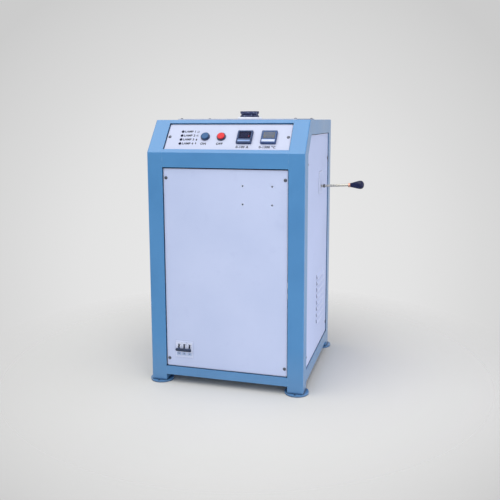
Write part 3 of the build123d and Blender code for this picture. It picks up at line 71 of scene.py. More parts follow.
# %% [markdown]
# ## Places
# A place is a local set of axes on the furnace: its origin in millimetres, and the directions of its
# x and z. The main ones are the front, the sloping console, the sides, the rear, the top board and the
# melting well. A piece is then drawn flat, with z pointing out of the surface that it sits on.

# %% Places
well_y = 48.0  # the well and the lever lie in one plane across the cabinet
bend_height = 745.0  # where the front face turns into the console
panel_recess = 5.0  # front, console and rear panels lie this far behind the frame's faces
side_recess = 3.0  # and the side panels this far
seat_height = 3.0  # heights of the caps, meters and keys are counted from this far off the overlay
half_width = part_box("front_post_right")[1].x / MM
front_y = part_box("front_post_left")[0].y / MM
rear_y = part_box("rear_posts")[1].y / MM
board_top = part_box("top_board")[1].z / MM


def place(origin, x, z):
    """Matrix from millimetres along local axes to metres in the frame."""
    x = Vector(x).normalized()
    z = Vector(z).normalized()
    y = z.cross(x)
    axes = Matrix((x, y, z)).transposed().to_4x4()
    return Matrix.Translation(Vector(origin) * MM) @ axes @ Matrix.Scale(MM, 4)


def shift(where, x=0.0, y=0.0, z=0.0):
    """The same axes with the origin moved by millimetres."""
    return where @ Matrix.Translation((x, y, z))


def middle_x(name):
    """Middle of a CAD node across the cabinet, in millimetres."""
    return sum(corner.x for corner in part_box(name)) / 2 / MM


press_axis = Vector(next(joint for joint in frame["joints"] if joint["name"] == "start_press")["axis"])
front = place((0, front_y + panel_recess, 0), (1, 0, 0), (0, -1, 0))
console = place((0, front_y, bend_height), (1, 0, 0), -press_axis)
console_face = shift(console, z=-panel_recess)
console_parts = shift(console_face, z=seat_height)
right = place((half_width - side_recess, 0, 0), (0, 1, 0), (1, 0, 0))
left = place((side_recess - half_width, 0, 0), (0, -1, 0), (-1, 0, 0))
rear = place((0, rear_y - panel_recess, 0), (-1, 0, 0), (0, 1, 0))
board = place((0, 0, board_top), (1, 0, 0), (0, 0, 1))
well = place((0, well_y, 0), (1, 0, 0), (0, 0, 1))
print("console leans", round(math.degrees(math.asin(-press_axis.z)), 1), "degrees back")

# %% [markdown]
# ## Outlines
# Most parts of the furnace start as a flat outline: a lathe follows a profile, and a mould has rounded
# corners. Curve objects could draw these, but plain points keep the meshes small, and every radius
# stays a number in millimetres.

# %% Outlines
def soften(points, radius, steps=4):
    """Rounds the inner corners of an open outline, by at most half of each neighbouring run."""
    points = [Vector(point) for point in points]
    smooth = [points[0]]
    for before, corner, after in zip(points, points[1:], points[2:]):
        reach_in = min(radius, (before - corner).length / 2)
        reach_out = min(radius, (after - corner).length / 2)
        start = corner + (before - corner).normalized() * reach_in
        end = corner + (after - corner).normalized() * reach_out
        for step in range(steps + 1):
            t = step / steps
            smooth.append((1 - t) ** 2 * start + 2 * t * (1 - t) * corner + t * t * end)
    return smooth + [points[-1]]


def rectangle(across, along, corner, steps=5):
    """Points round a rounded rectangle, the same number whatever its size."""
    points = []
    for quarter in range(4):
        middle = math.pi / 2 * quarter + math.pi / 4
        side = Vector((math.copysign(1, math.cos(middle)), math.copysign(1, math.sin(middle))))
        centre = Vector((side.x * (across / 2 - corner), side.y * (along / 2 - corner)))
        for step in range(steps + 1):
            angle = math.pi / 2 * (quarter + step / steps)
            points.append(centre + corner * Vector((math.cos(angle), math.sin(angle))))
    return points


def ring(count, radius):
    """Points round a circle."""
    angles = [2 * math.pi * n / count for n in range(count)]
    return [(radius * math.cos(a), radius * math.sin(a)) for a in angles]


def dome(radius, foot, top, steps=8):
    """Profile of a dome, from its rim at height `foot` to its middle at height `top`."""
    angles = [math.pi / 2 * n / steps for n in range(steps)]
    return [(radius * math.cos(a), foot + (top - foot) * math.sin(a)) for a in angles] + [(0, top)]


print("outlines: soften, rectangle, ring, dome")

# %% [markdown]
# ## Turned, moulded and stamped shapes
# A turned shape comes from a profile of (radius, height) points, a moulded one from a stack of rounded
# rectangles, and a stamped one from a flat outline. Modifiers could make them, but faces built ring by
# ring in a bmesh give the same clean mesh every time.

# %% Turned, moulded and stamped shapes
def bridge(mesh, low, high):
    """Joins two rings of vertices, either of which may be a single point."""
    count = max(len(low), len(high))
    for n in range(count):
        corners = [low[n % len(low)], low[(n + 1) % len(low)]]
        corners += [high[(n + 1) % len(high)], high[n % len(high)]]
        corners = list(dict.fromkeys(corners))
        if len(corners) > 2:
            mesh.faces.new(corners)


def turn(mesh, where, profile, segments=96):
    """Turns (radius, height) points about the local z. Radius 0 closes the end."""
    rings = []
    for radius, height in profile:
        count = segments if radius > 0 else 1
        rings.append([mesh.verts.new(where @ Vector((x, y, height))) for x, y in ring(count, radius)])
    for low, high in zip(rings, rings[1:]):
        bridge(mesh, low, high)


def stack(mesh, where, sections, capped=True):
    """Lofts rounded rectangles given as (across, along, corner, height, shift along)."""
    rings = []
    for across, along, corner, height, rise in sections:
        level = [Vector((p.x, p.y + rise, height)) for p in rectangle(across, along, corner)]
        rings.append([mesh.verts.new(where @ point) for point in level])
    for low, high in zip(rings, rings[1:]):
        bridge(mesh, low, high)
    if capped:
        mesh.faces.new(list(reversed(rings[0])))
        mesh.faces.new(rings[-1])


def plate(mesh, where, outline, low, high, edge=0.0):
    """A flat outline given thickness, with a small bevel of `edge` round its top."""
    levels = [(0.0, low), (0.0, high)] if edge == 0 else [(0.0, low), (0.0, high - edge), (edge, high)]
    centre = sum((Vector(p) for p in outline), Vector((0, 0))) / len(outline)
    rings = []
    for inset, height in levels:
        level = []
        for point in outline:
            away = Vector(point) - centre
            keep = max(0.0, 1 - inset / away.length) if away.length else 1.0
            level.append(mesh.verts.new(where @ Vector((*(centre + away * keep), height))))
        rings.append(level)
    for lower, upper in zip(rings, rings[1:]):
        bridge(mesh, lower, upper)
    mesh.faces.new(list(reversed(rings[0])))
    mesh.faces.new(rings[-1])


print("shapes: turn, stack, plate")

# %% [markdown]
# ## Pieces
# A piece is one mesh with one material. All of them could be joined into a single object, but separate
# ones can ride on the moving bodies and stand for single CAD nodes.

# %% Pieces
def mesh_of(shape, name):
    """Turns a bmesh into a plain object in the scene."""
    data = bpy.data.meshes.new(name)
    shape.to_mesh(data)
    shape.free()
    made = bpy.data.objects.new(name, data)
    bpy.context.scene.collection.objects.link(made)
    return made


def piece(name, mesh, material, replaces=(), body="base", sharp=38):
    """Turns a bmesh into an object with one material, which may stand for CAD nodes and ride on a body.

    Faces that meet at more than `sharp` degrees keep a hard edge between them.
    """
    bmesh.ops.recalc_face_normals(mesh, faces=mesh.faces)
    made = mesh_of(mesh, name)
    made.data.materials.append(material)
    made.data.polygons.foreach_set("use_smooth", [True] * len(made.data.polygons))
    made.data.set_sharp_from_angle(angle=math.radians(sharp))
    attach(made, body)
    if replaces:
        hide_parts(*replaces)


# %% [markdown]
# ## Colours and nodes
# Colours are written as sRGB hex values, as on a paint chart, and one function turns them into the
# linear ones that light is worked out in. Another adds a node with its settings and links. Nodes could
# be laid out by hand in the editor, but this way a material reads as a list of steps.

# %% Colours and nodes
def linear(hex_colour):
    """sRGB hex to the linear colour that a shader socket takes."""
    channels = [int(hex_colour[n:n + 2], 16) / 255 for n in (1, 3, 5)]
    return [c / 12.92 if c <= 0.04045 else ((c + 0.055) / 1.055) ** 2.4 for c in channels] + [1.0]


def add(material, kind, inputs=(), stops=(), **properties):
    """Adds a node. Inputs go by name or in order, and each is a value or the output that feeds it.

    Stops are the (position, hex colour) pairs of a node that has a colour ramp.
    """
    node = material.node_tree.nodes.new(kind)
    for key, value in properties.items():
        setattr(node, key, value)
    for socket, value in inputs.items() if isinstance(inputs, dict) else enumerate(inputs):
        if isinstance(value, bpy.types.NodeSocket):
            material.node_tree.links.new(value, node.inputs[socket])
        else:
            node.inputs[socket].default_value = value
    for n, (position, colour) in enumerate(stops):
        stop = node.color_ramp.elements[n] if n < 2 else node.color_ramp.elements.new(position)
        stop.position = position
        stop.color = linear(colour)
    return node


print("mid grey as a linear value:", round(linear("#808080")[0], 3))

# %% [markdown]
# ## Patterns and masks
# No real surface is even. Patterns are three-dimensional and sized in millimetres, so they need no
# unwrapping and no picture. A bevel node finds the edges, which are rubbed paler on the frame and
# given a painted highlight elsewhere, and an occlusion node the narrow gaps, which are painted dark as
# shade. Painting by hand would have to follow these on every piece.

# %% Patterns and masks
def mottle(material, size, detail=3.0, stretch=(1, 1, 1)):
    """A mottled pattern with patches about `size` millimetres across."""
    where = add(material, "ShaderNodeTexCoord").outputs["Object"]
    if stretch != (1, 1, 1):
        where = add(material, "ShaderNodeMapping", {"Vector": where, "Scale": stretch}).outputs["Vector"]
    inputs = {"Vector": where, "Scale": 1 / (size * MM), "Detail": detail}
    return add(material, "ShaderNodeTexNoise", inputs).outputs["Fac"]


def speckle(material, size, detail, low, high, strength):
    """Scattered spots: a noise pattern, cut off below `low` and at full strength above `high`."""
    inputs = (mottle(material, size, detail), low, high, 0.0, strength)
    return add(material, "ShaderNodeMapRange", inputs).outputs[0]


def edge_mask(material, radius, sharpness=0.12):
    """1 on edges and corners, falling to 0 on flats within `radius` millimetres."""
    bent = add(material, "ShaderNodeBevel", {"Radius": radius * MM}, samples=6).outputs["Normal"]
    flat = add(material, "ShaderNodeNewGeometry").outputs["Normal"]
    same = add(material, "ShaderNodeVectorMath", {0: bent, 1: flat}, operation="DOT_PRODUCT")
    inputs = (same.outputs["Value"], 1.0 - sharpness, 1.0, 1.0, 0.0)
    return add(material, "ShaderNodeMapRange", inputs).outputs[0]


def painted_shade_mask(material, reach):
    """Painted shade: 1 deep in gaps and inner corners narrower than `reach` mm, 0 on open faces."""
    closed, clear = 0.45, 0.92  # shares of open sky at which the mask is full and gone
    sky = add(material, "ShaderNodeAmbientOcclusion", {"Distance": reach * MM}, samples=8)
    return add(material, "ShaderNodeMapRange", (sky.outputs["AO"], closed, clear, 1.0, 0.0)).outputs[0]


print("patterns: mottle, speckle; masks: edge_mask, painted_shade_mask")

# %% [markdown]
# ## Finishes
# Every finish is one principled shader whose colour and sheen drift together over the surface, with
# fine relief and a small rounded edge that catches the light. Wear, specks, a paler grey low down,
# painted highlights and painted shade are laid over it, which keeps them out of the colours that each
# material starts from.

# %% Finishes
drift = (0.35, 0.65)  # values of a mottled pattern between which most of it lies


def finish(name, colours, roughness, patch=80, grain=0.8, relief=0.01, edge=0.5,
           stretch=(1, 1, 1), **sockets):
    """A surface whose colour drifts between two hex values and whose sheen drifts with it.

    patch is the size of the drift, grain and relief the size and depth of its texture, edge its
    edge radius, all in millimetres. Other names are sockets of the shader, such as Metallic.
    """
    material = bpy.data.materials.new(name)
    material.use_nodes = True
    shader = material.node_tree.nodes["Principled BSDF"]
    cloud = mottle(material, patch, 4.0, stretch)
    colour = add(material, "ShaderNodeValToRGB", (cloud,), zip(drift, colours)).outputs["Color"]
    gloss = add(material, "ShaderNodeMapRange", (cloud, *drift, *roughness)).outputs[0]
    rounded = add(material, "ShaderNodeBevel", {"Radius": edge * MM}, samples=4).outputs["Normal"]
    height = mottle(material, grain, 2.0, stretch)
    bump = add(material, "ShaderNodeBump",
               {"Height": height, "Distance": relief * MM, "Strength": 1.0, "Normal": rounded})
    links = material.node_tree.links
    links.new(colour, shader.inputs["Base Color"])
    links.new(gloss, shader.inputs["Roughness"])
    links.new(bump.outputs["Normal"], shader.inputs["Normal"])
    for socket, value in sockets.items():
        shader.inputs[socket.replace("_", " ")].default_value = value
    return material


def base_colour(material, colour):
    """Feeds another colour output to the shader."""
    shader = material.node_tree.nodes["Principled BSDF"]
    material.node_tree.links.new(colour, shader.inputs["Base Color"])


def colour_of(material):
    """The output that feeds the shader's colour now."""
    return material.node_tree.nodes["Principled BSDF"].inputs["Base Color"].links[0].from_socket


def over(material, mask, colour):
    """Lays a second hex colour over the present one where the mask is 1."""
    mix = add(material, "ShaderNodeMix", {0: mask, 6: colour_of(material)}, data_type="RGBA")
    mix.inputs[7].default_value = linear(colour)
    base_colour(material, mix.outputs[2])


def dress(material, *names):
    """Gives CAD nodes a material in place of the plain one they came with."""
    for name in names:
        for slot in frame["nodes"][name].material_slots:
            slot.material = material


print("a finish drifts between pattern values", *drift)

# %% [markdown]
# ## Painted sheet and tube
# The frame is welded square tube under a semi-gloss polyester powder coat. Its film has a fine orange
# peel of about a millimetre, is rubbed paler on the outer edges, and turns paler and greyer at the feet.
# The panels are folded sheet in a pale, nearly matt enamel, with painted highlights on their edges.
# Shade is painted dark where two parts meet, and the hidden inner frame is painted dark as shade.

# %% Painted metals
def height_on(material):
    """Height on the object itself, in metres."""
    where = add(material, "ShaderNodeTexCoord").outputs["Object"]
    return add(material, "ShaderNodeSeparateXYZ", {"Vector": where}).outputs["Z"]


# Powder coat on the tubes, paler where it is rubbed, with specks, paler and greyer towards the
# floor, and with painted shade in the gaps and inner corners.
grey_fade_low, grey_fade_high = 20, 150  # millimetres above the floor between which the paler grey fades out
blue = finish("blue_powder_coat", ("#3e80b8", "#4486be"), (0.34, 0.42), patch=140,
              grain=1.6, relief=0.03, edge=1.2, IOR=1.5, Coat_Weight=0.6, Coat_Roughness=0.12)
patches = speckle(blue, 14, 5.0, 0.5, 0.62, 0.45)
rubbed = add(blue, "ShaderNodeMath", (edge_mask(blue, 2.2), patches), operation="MULTIPLY").outputs[0]
over(blue, rubbed, "#93b9de")
over(blue, speckle(blue, 3.0, 6.0, 0.66, 0.74, 0.35), "#649aca")
grey_fade = add(blue, "ShaderNodeMapRange", (height_on(blue), grey_fade_low * MM, grey_fade_high * MM, 0.15, 0.0))
over(blue, grey_fade.outputs[0], "#8f9aa6")
# Painted shade: the frame's gaps and inner corners are darkened.
over(blue, painted_shade_mask(blue, 8), "#1a2747")
dress(blue, "feet", "front_post_left", "front_post_right", "rear_posts", "bottom_rails", "top_rails",
      "front_cross_rails")

# Stoving enamel on the flat sheets, with smudges, specks, painted highlights on the edges and
# painted shade in the gaps.
pale = finish("pale_enamel", ("#bbc7e7", "#c1cceb"), (0.5, 0.62), patch=190,
              grain=1.3, relief=0.012, edge=0.7, IOR=1.5, Specular_IOR_Level=0.2)
over(pale, speckle(pale, 46, 3.0, 0.62, 0.8, 0.35), "#b1bde0")
over(pale, speckle(pale, 2.2, 2.0, 0.73, 0.78, 0.5), "#98a4c8")
# Painted highlight: the sheet edges are made paler.
over(pale, edge_mask(pale, 4.0), "#e6eafb")
# Painted shade: the gaps between sheets are darkened.
pale_gap_shade = add(pale, "ShaderNodeMath", (painted_shade_mask(pale, 7.0), 0.8), operation="MULTIPLY").outputs[0]
over(pale, pale_gap_shade, "#2c3660")
dress(pale, "front_panel", "left_panel", "right_panel", "rear_panel", "lever_slot_plate")

# Printed polyester overlay on the console, satin and a little greyer than the enamel.
overlay = finish("console_overlay", ("#b9c0d9", "#bfc6dd"), (0.42, 0.5), patch=120,
                 grain=0.9, relief=0.006, edge=0.6, IOR=1.45)
over(overlay, speckle(overlay, 30, 3.0, 0.6, 0.8, 0.4), "#b2badb")
dress(overlay, "control_panel")

# The hidden inner frame, painted dark as shade, so that the gaps round the panels read dark.
inner_shade = finish("inner_frame_painted_shade", ("#2c3038", "#363b44"), (0.55, 0.7), patch=60,
                grain=0.9, relief=0.02, edge=0.8, IOR=1.5)
dress(inner_shade, "mid_rails", "panel_tabs", "lever_bracket", "guide_beam", "coil_deck")
print("painted:", blue.name, pale.name, overlay.name, inner_shade.name)

# %% [markdown]
# ## Metals
# Turned, drawn and plated metals differ mainly in the direction and depth of their tool marks, so the
# stretch of the pattern does most of the work. Base colours start from typical ones for each metal.

# %% Metals
# Galvanised sheet: crystals of about 8 mm in slightly different greys.
zinc = finish("galvanised_sheet", ("#8f969c", "#a6adb3"), (0.32, 0.46), patch=30,
              grain=0.7, relief=0.01, edge=0.4, Metallic=1.0)
crystal_size = 8
where = add(zinc, "ShaderNodeTexCoord").outputs["Object"]
crystals = add(zinc, "ShaderNodeTexVoronoi", {"Vector": where, "Scale": 1 / (crystal_size * MM)})
shade = add(zinc, "ShaderNodeSeparateColor", {"Color": crystals.outputs["Color"]}).outputs[0]
greys = [(0.0, "#8b9299"), (1.0, "#b4babf")]
base_colour(zinc, add(zinc, "ShaderNodeValToRGB", (shade,), greys).outputs["Color"])
dress(zinc, "bottom_tray", "din_rail")

# Bright turned steel with fine circular feed marks.
steel = finish("turned_steel", ("#b9b5aa", "#cfcbc0"), (0.2, 0.32), patch=9,
               grain=0.35, relief=0.006, edge=0.3, stretch=(4, 1, 1), Metallic=1.0)
dress(steel, "lever_rod", "lever_arm", "pivot_pin", "cross_pin", "lift_rod", "lift_yoke", "lever_nut")

# Black-passivated zinc on small screws.
screw_black = finish("black_zinc_screws", ("#5c606b", "#767a86"), (0.28, 0.42), patch=4,
                     grain=0.4, relief=0.01, edge=0.25, Metallic=0.9)

# Drawn copper tube, browned by heat in patches.
copper = finish("drawn_copper", ("#b5673f", "#d98a5c"), (0.22, 0.4), patch=22,
                grain=0.5, relief=0.008, edge=0.4, Metallic=1.0)
over(copper, speckle(copper, 16, 5.0, 0.52, 0.7, 0.7), "#6d3a2b")
dress(copper, "induction_coil")

# Sintered bronze: its open pores leave it dull and finely pitted.
bronze = finish("sintered_bronze", ("#8d6a3c", "#a98450"), (0.38, 0.5), patch=6,
                grain=0.5, relief=0.02, edge=0.3, Metallic=1.0)
dress(bronze, "guide_bush")

# Extruded aluminium, clear anodised: the die draws fine lines along its length.
aluminium = finish("anodised_aluminium", ("#a8adb2", "#bcc0c4"), (0.3, 0.42), patch=12,
                   grain=0.5, relief=0.01, edge=0.2, stretch=(5, 0.3, 5), Metallic=1.0)
dress(aluminium, "inverter_unit")

# Transformer core of varnished 0.5 mm laminations, drawn coarser, at 0.9 mm, so that they show.
core = finish("varnished_core", ("#3f3a38", "#5a5350"), (0.4, 0.55), patch=0.9,
              grain=0.5, relief=0.05, edge=0.2, stretch=(0.05, 1, 0.05), Metallic=0.7)
dress(core, "output_transformer")

# Nickel-plated brass of the hose tails.
nickel = finish("nickelled_brass", ("#b3ada0", "#c9c3b4"), (0.16, 0.28), patch=7,
                grain=0.4, relief=0.004, edge=0.3, Metallic=1.0)
dress(nickel, "water_fittings")
metals = (zinc, steel, screw_black, copper, bronze, aluminium, core, nickel)
print("metals:", *(metal.name for metal in metals))

# %% [markdown]
# ## Refractories
# The crucible is fine-grained graphite with a faint silver sheen. Its collar, sleeve and pedestal are
# fired alumina, and the top board is pressed fibre board, matt and slightly fluffy.

# %% Refractories
# Isostatic graphite: near black, with pale oxide dust in patches.
graphite = finish("machined_graphite", ("#19234b", "#28345f"), (0.4, 0.6), patch=9,
                  grain=0.5, relief=0.03, edge=0.8, IOR=1.6, Metallic=0.2)
over(graphite, speckle(graphite, 5.0, 6.0, 0.53, 0.66, 0.75), "#8290ae")
dress(graphite, "crucible", "crucible_lid")

# Fired white alumina, matt and finely granular.
alumina = finish("fired_alumina", ("#e3e6ee", "#f0f2f8"), (0.55, 0.7), patch=12,
                 grain=0.6, relief=0.02, edge=0.7, IOR=1.6)
dress(alumina, "crucible_collar", "coil_sleeve", "pedestal")

# Pressed heat-proof board under a pale sealer.
fibre = finish("fibre_board", ("#c9cfe0", "#d5daea"), (0.7, 0.85), patch=30,
               grain=1.4, relief=0.05, edge=0.6, IOR=1.45)
over(fibre, speckle(fibre, 5.0, 6.0, 0.6, 0.72, 0.4), "#b3b9cb")
dress(fibre, "top_board")
print("refractories:", graphite.name, alumina.name, fibre.name)

# %% [markdown]
# ## Plastics
# Moulded plastics differ in gloss and in the fine spark-eroded grain of their moulds, so one function
# serves them all. The dark ones have a low specular level: they reflect less of the pale room. The
# control board is laminate: green solder mask over copper tracks that show as a faint lattice.

# %% Plastics
def moulded(name, dark, light, roughness, grain=0.5, relief=0.01, specular=0.5):
    """An injection moulding with an even colour and the grain of its mould."""
    return finish(name, (dark, light), roughness, patch=35, grain=grain, relief=relief,
                  edge=0.45, IOR=1.5, Specular_IOR_Level=specular)


# Satin meter cases, with painted highlights on their bevelled edges.
meter_case = moulded("navy_meter_case", "#1f2d50", "#283860", (0.34, 0.42), specular=0.25)
over(meter_case, edge_mask(meter_case, 2.6), "#6f8fc4")
dress(meter_case, "ammeter")
controller_case = moulded("steel_blue_meter_case", "#2a3f6c", "#344c7c", (0.34, 0.42), specular=0.25)
over(controller_case, edge_mask(controller_case, 1.8), "#7c9cd0")
dress(controller_case, "temperature_controller")

# Glossy collars, smooth caps with next to no grain, and pale, even keys.
dress(moulded("dark_button_collar", "#1e2b49", "#27365a", (0.25, 0.34)),
      "button_collars", "indicator_lamps")
start_plastic = moulded("start_button_blue", "#2f5581", "#375f8d", (0.34, 0.42), relief=0.004,
                        specular=0.25)
dress(start_plastic, "start_button")
stop_plastic = moulded("stop_button_red", "#d3272f", "#db3038", (0.34, 0.42), relief=0.004, specular=0.25)
dress(stop_plastic, "stop_button")
key_plastic = moulded("key_grey", "#e2e6f2", "#eef0f8", (0.4, 0.5))
dress(key_plastic, *[f"controller_key_{n}" for n in range(1, 5)])

# The breaker is pale and satin, with dark handles, and the lever's knob dense, black and glossy.
dress(moulded("breaker_white", "#cbd4ee", "#d5ddf3", (0.36, 0.46)), "breaker_body", "contactor")
toggle_plastic = moulded("toggle_black", "#29354f", "#324060", (0.35, 0.45), specular=0.3)
dress(toggle_plastic, "breaker_toggle")
knob_plastic = moulded("phenolic_knob", "#12183a", "#181f44", (0.26, 0.34), relief=0.006, specular=0.3)
dress(knob_plastic, "lever_knob")

# Dull black fan with a coarser grain, black gland, blue cases, and hose with the soft sheen of rubber.
dress(moulded("fan_black", "#17181c", "#212328", (0.4, 0.55), grain=0.8, relief=0.02),
      "fan_frame", "fan_rotor")
gland_plastic = moulded("gland_black", "#1c1d20", "#26282c", (0.4, 0.5))
dress(gland_plastic, "cable_gland")
dress(moulded("capacitor_case", "#31466e", "#3a5180", (0.35, 0.45)), "capacitor_bank")
dress(moulded("blue_water_hose", "#2f5f9e", "#3a6dae", (0.45, 0.6)), "cooling_pipes")

# Circuit laminate: smooth green solder mask, with the tracks as a faint lattice under it.
laminate = finish("circuit_laminate", ("#1f5a3c", "#2a6b48"), (0.3, 0.4), patch=10,
                  grain=0.6, relief=0.01, edge=0.2, IOR=1.5)
track_pitch = 6  # far coarser than real tracks, so that the lattice shows at all
where = add(laminate, "ShaderNodeTexCoord").outputs["Object"]
tracks = add(laminate, "ShaderNodeTexVoronoi", {"Vector": where, "Scale": 1 / (track_pitch * MM)},
             distance="MANHATTAN").outputs["Distance"]
lattice = add(laminate, "ShaderNodeMapRange", (tracks, 0.62, 0.7, 0.0, 0.6)).outputs[0]
over(laminate, lattice, "#57966f")
dress(laminate, "control_board")
print("plastics and laminate done, with", laminate.name, "on the control board")

# %% [markdown]
# ## Melting well
# The crucible's spool-shaped rim, its lid and the ceramic collar are turned. The profiles follow the
# CAD outline, with the small radii that a lathe leaves, and the crucible stays open to its floor.

# %% Melting well
crucible_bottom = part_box("crucible")[0].z / MM
rim_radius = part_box("crucible")[1].x / MM
rim_height, rim_step = 8.2, 4.0  # the whole spool rim, and its straight lower half
rim_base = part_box("crucible")[1].z / MM - rim_height
pot_radius, bore_radius = 28.5, 23.0
floor_thickness = 12.0
neck_radius = rim_radius - 4.0
collar_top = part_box("crucible_collar")[1].z / MM
lid_low, lid_top = (corner.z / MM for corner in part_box("crucible_lid"))

shape = bmesh.new()
foot_chamfer = 2.5
outside = [(0, crucible_bottom), (pot_radius - foot_chamfer, crucible_bottom),
           (pot_radius, crucible_bottom + foot_chamfer), (pot_radius, rim_base), (rim_radius, rim_base),
           (rim_radius, rim_base + rim_step), (neck_radius, rim_base + rim_height),
           (bore_radius, rim_base + rim_height)]
bore_chamfer = 4.0
inside = [(bore_radius, rim_base + rim_height), (bore_radius, rim_base),
          (bore_radius, crucible_bottom + floor_thickness + bore_chamfer),
          (bore_radius - bore_chamfer, crucible_bottom + floor_thickness),
          (0, crucible_bottom + floor_thickness)]
turn(shape, well, soften(outside, 0.6) + soften(inside, 1.5)[1:])
piece("crucible_pot", shape, graphite, ["crucible"], "crucible")

shape = bmesh.new()
plug_radius, vent_radius = 22.0, 3.0
spool_low, spool_middle = lid_top - 11.4, lid_top - 6.9
lid_profile = [(vent_radius, lid_low), (plug_radius - 1, lid_low), (plug_radius, spool_low),
               (neck_radius, spool_low), (rim_radius, spool_middle), (rim_radius, lid_top),
               (vent_radius, lid_top), (vent_radius, lid_low)]
turn(shape, well, soften(lid_profile, 0.8))
piece("crucible_cap", shape, graphite, ["crucible_lid"], "lid")

shape = bmesh.new()
collar_bore, collar_spigot, collar_flange = 30.5, 35.0, 41.0  # radii
spigot_low = board_top - 6
collar_profile = [(collar_bore, spigot_low), (collar_spigot, spigot_low), (collar_spigot, board_top),
                  (collar_flange, board_top), (collar_flange, collar_top), (collar_bore, collar_top),
                  (collar_bore, spigot_low)]
turn(shape, well, soften(collar_profile, 1.6, 6))
piece("ceramic_collar", shape, alumina, ["crucible_collar"])
print("well pieces from z", round(crucible_bottom, 1), "to", round(lid_top, 1))

# %% [markdown]
# ## Push-buttons and lamps
# Each button is a shallow dome on a stem, in a dark tapered collar that stays as the CAD has it. Each
# lamp is a black bezel with a smoked lens, unlit, so it reads as a dark spot with one small highlight.

# %% Buttons and lamps
button_row = 64.5  # heights up the console
lamp_rows = (84.9, 69.4, 54.1, 38.4)
start_x, stop_x, lamp_x = (middle_x(name) for name in ("start_button", "stop_button", "indicator_lamps"))
stem_radius, stem_low = 7.0, -20.5
cap_radius, cap_low, cap_edge, cap_top = 11.4, 1.4, 4.6, 5.4
cap_profile = [(0, stem_low), (stem_radius, stem_low), (stem_radius, cap_low), (cap_radius, cap_low)]
cap_profile += dome(cap_radius, cap_edge, cap_top)

for name, across, plastic, colour_slot in (("start", start_x, start_plastic, "start_blue"),
                                           ("stop", stop_x, stop_plastic, "stop_red")):
    shape = bmesh.new()
    turn(shape, shift(console_parts, across, button_row), cap_profile)
    piece(f"{name}_cap", shape, plastic, [f"{name}_button"], f"{name}_button")

lens_plastic = moulded("smoked_lamp_lens", "#0b1030", "#11183a", (0.12, 0.18), relief=0.002,
                       specular=0.25)
bezel_metal = finish("lamp_bezel", ("#10152f", "#171d3c"), (0.3, 0.4), patch=5, grain=0.3,
                     relief=0.004, edge=0.2, IOR=1.5, Specular_IOR_Level=0.25)
lens_radius = 2.6
bezel_profile = soften([(0, -18), (3, -18), (3, 0), (4.6, 0), (4.6, 0.9), (3.8, 1.5), (2.7, 1.5),
                        (2.7, 1.0)], 0.25) + [(0, 1.0)]
lens_profile = [(0, 1.05), (lens_radius, 1.05)] + dome(lens_radius, 1.1, 3.0)
bezels = bmesh.new()
lenses = bmesh.new()
for along in lamp_rows:
    spot = shift(console_face, lamp_x, along)
    turn(bezels, spot, bezel_profile, 48)
    turn(lenses, spot, lens_profile, 48)
piece("lamp_bezels", bezels, bezel_metal, ["indicator_lamps"])
piece("lamp_lenses", lenses, lens_plastic)
print("buttons: 2, lamps:", len(lamp_rows))

# %% [markdown]
# ## Panel meters
# The ammeter has an unlit red display behind navy glass, with one lit point, and the controller a
# reflective liquid-crystal one. Digits are seven bars each, as thin mesh. Both cases are lofted with a
# bevelled bezel round the window, and a paler strip below it, on which the controller has its keys.

# %% Panel meters
meter_row = 62.0  # height up the console
window_rise = 7.0  # from the middle of a case to the middle of its window
window_low, glass_top = 2.4, 3.0
ammeter_x = middle_x("ammeter")
controller_x = middle_x("temperature_controller")
glass_navy = moulded("ammeter_glass", "#070a26", "#0c1030", (0.16, 0.22), relief=0.002, specular=0.08)
glass_grey = moulded("reflective_display", "#65686b", "#6f7173", (0.16, 0.24), relief=0.004,
                     specular=0.15)
bar_faint = moulded("unlit_red_bars", "#1a2145", "#222a50", (0.3, 0.4), relief=0.002, specular=0.15)
bar_dark = moulded("crystal_bars", "#39507c", "#456092", (0.3, 0.4), relief=0.002, specular=0.15)
strip_plastic = moulded("steel_blue_strip", "#7d9aca", "#8aa6d4", (0.36, 0.44), relief=0.004,
                        specular=0.25)
key_strip_plastic = moulded("pale_key_strip", "#b4c5e8", "#c0d0ef", (0.36, 0.44), relief=0.004,
                            specular=0.25)
spark_red = finish("lit_red_dot", ("#c41420", "#e02a34"), (0.3, 0.4), patch=2, grain=0.4,
                   relief=0.002, edge=0.1, IOR=1.5)
glow = spark_red.node_tree.nodes["Principled BSDF"].inputs
glow["Emission Color"].default_value = linear("#ff2020")
glow["Emission Strength"].default_value = 0.5


def bar(mesh, where, x, y, length, thick, upright, high):
    """One bar of a seven-segment digit, pointed at both ends."""
    half, side = length / 2, thick / 2
    outline = [(-half, 0), (side - half, -side), (half - side, -side), (half, 0), (half - side, side),
               (side - half, side)]
    if upright:
        outline = [(-b, a) for a, b in outline]
    plate(mesh, where, [(x + a, y + b) for a, b in outline], 0.0, high)


def digits(mesh, where, count, tall, high=0.06):
    """A row of unlit seven-segment digits centred on a place, `tall` millimetres high."""
    wide, thick = tall * 0.5, tall * 0.11
    pitch = wide + tall * 0.26
    bars = [(0, tall / 2, False), (wide / 2, tall / 4, True), (wide / 2, -tall / 4, True),
            (0, -tall / 2, False), (-wide / 2, -tall / 4, True), (-wide / 2, tall / 4, True),
            (0, 0, False)]
    for n in range(count):
        middle = (n - (count - 1) / 2) * pitch
        for x, y, upright in bars:
            run = (tall / 2 if upright else wide) - thick * 0.35
            bar(mesh, where, middle + x, y, run, thick, upright, high)


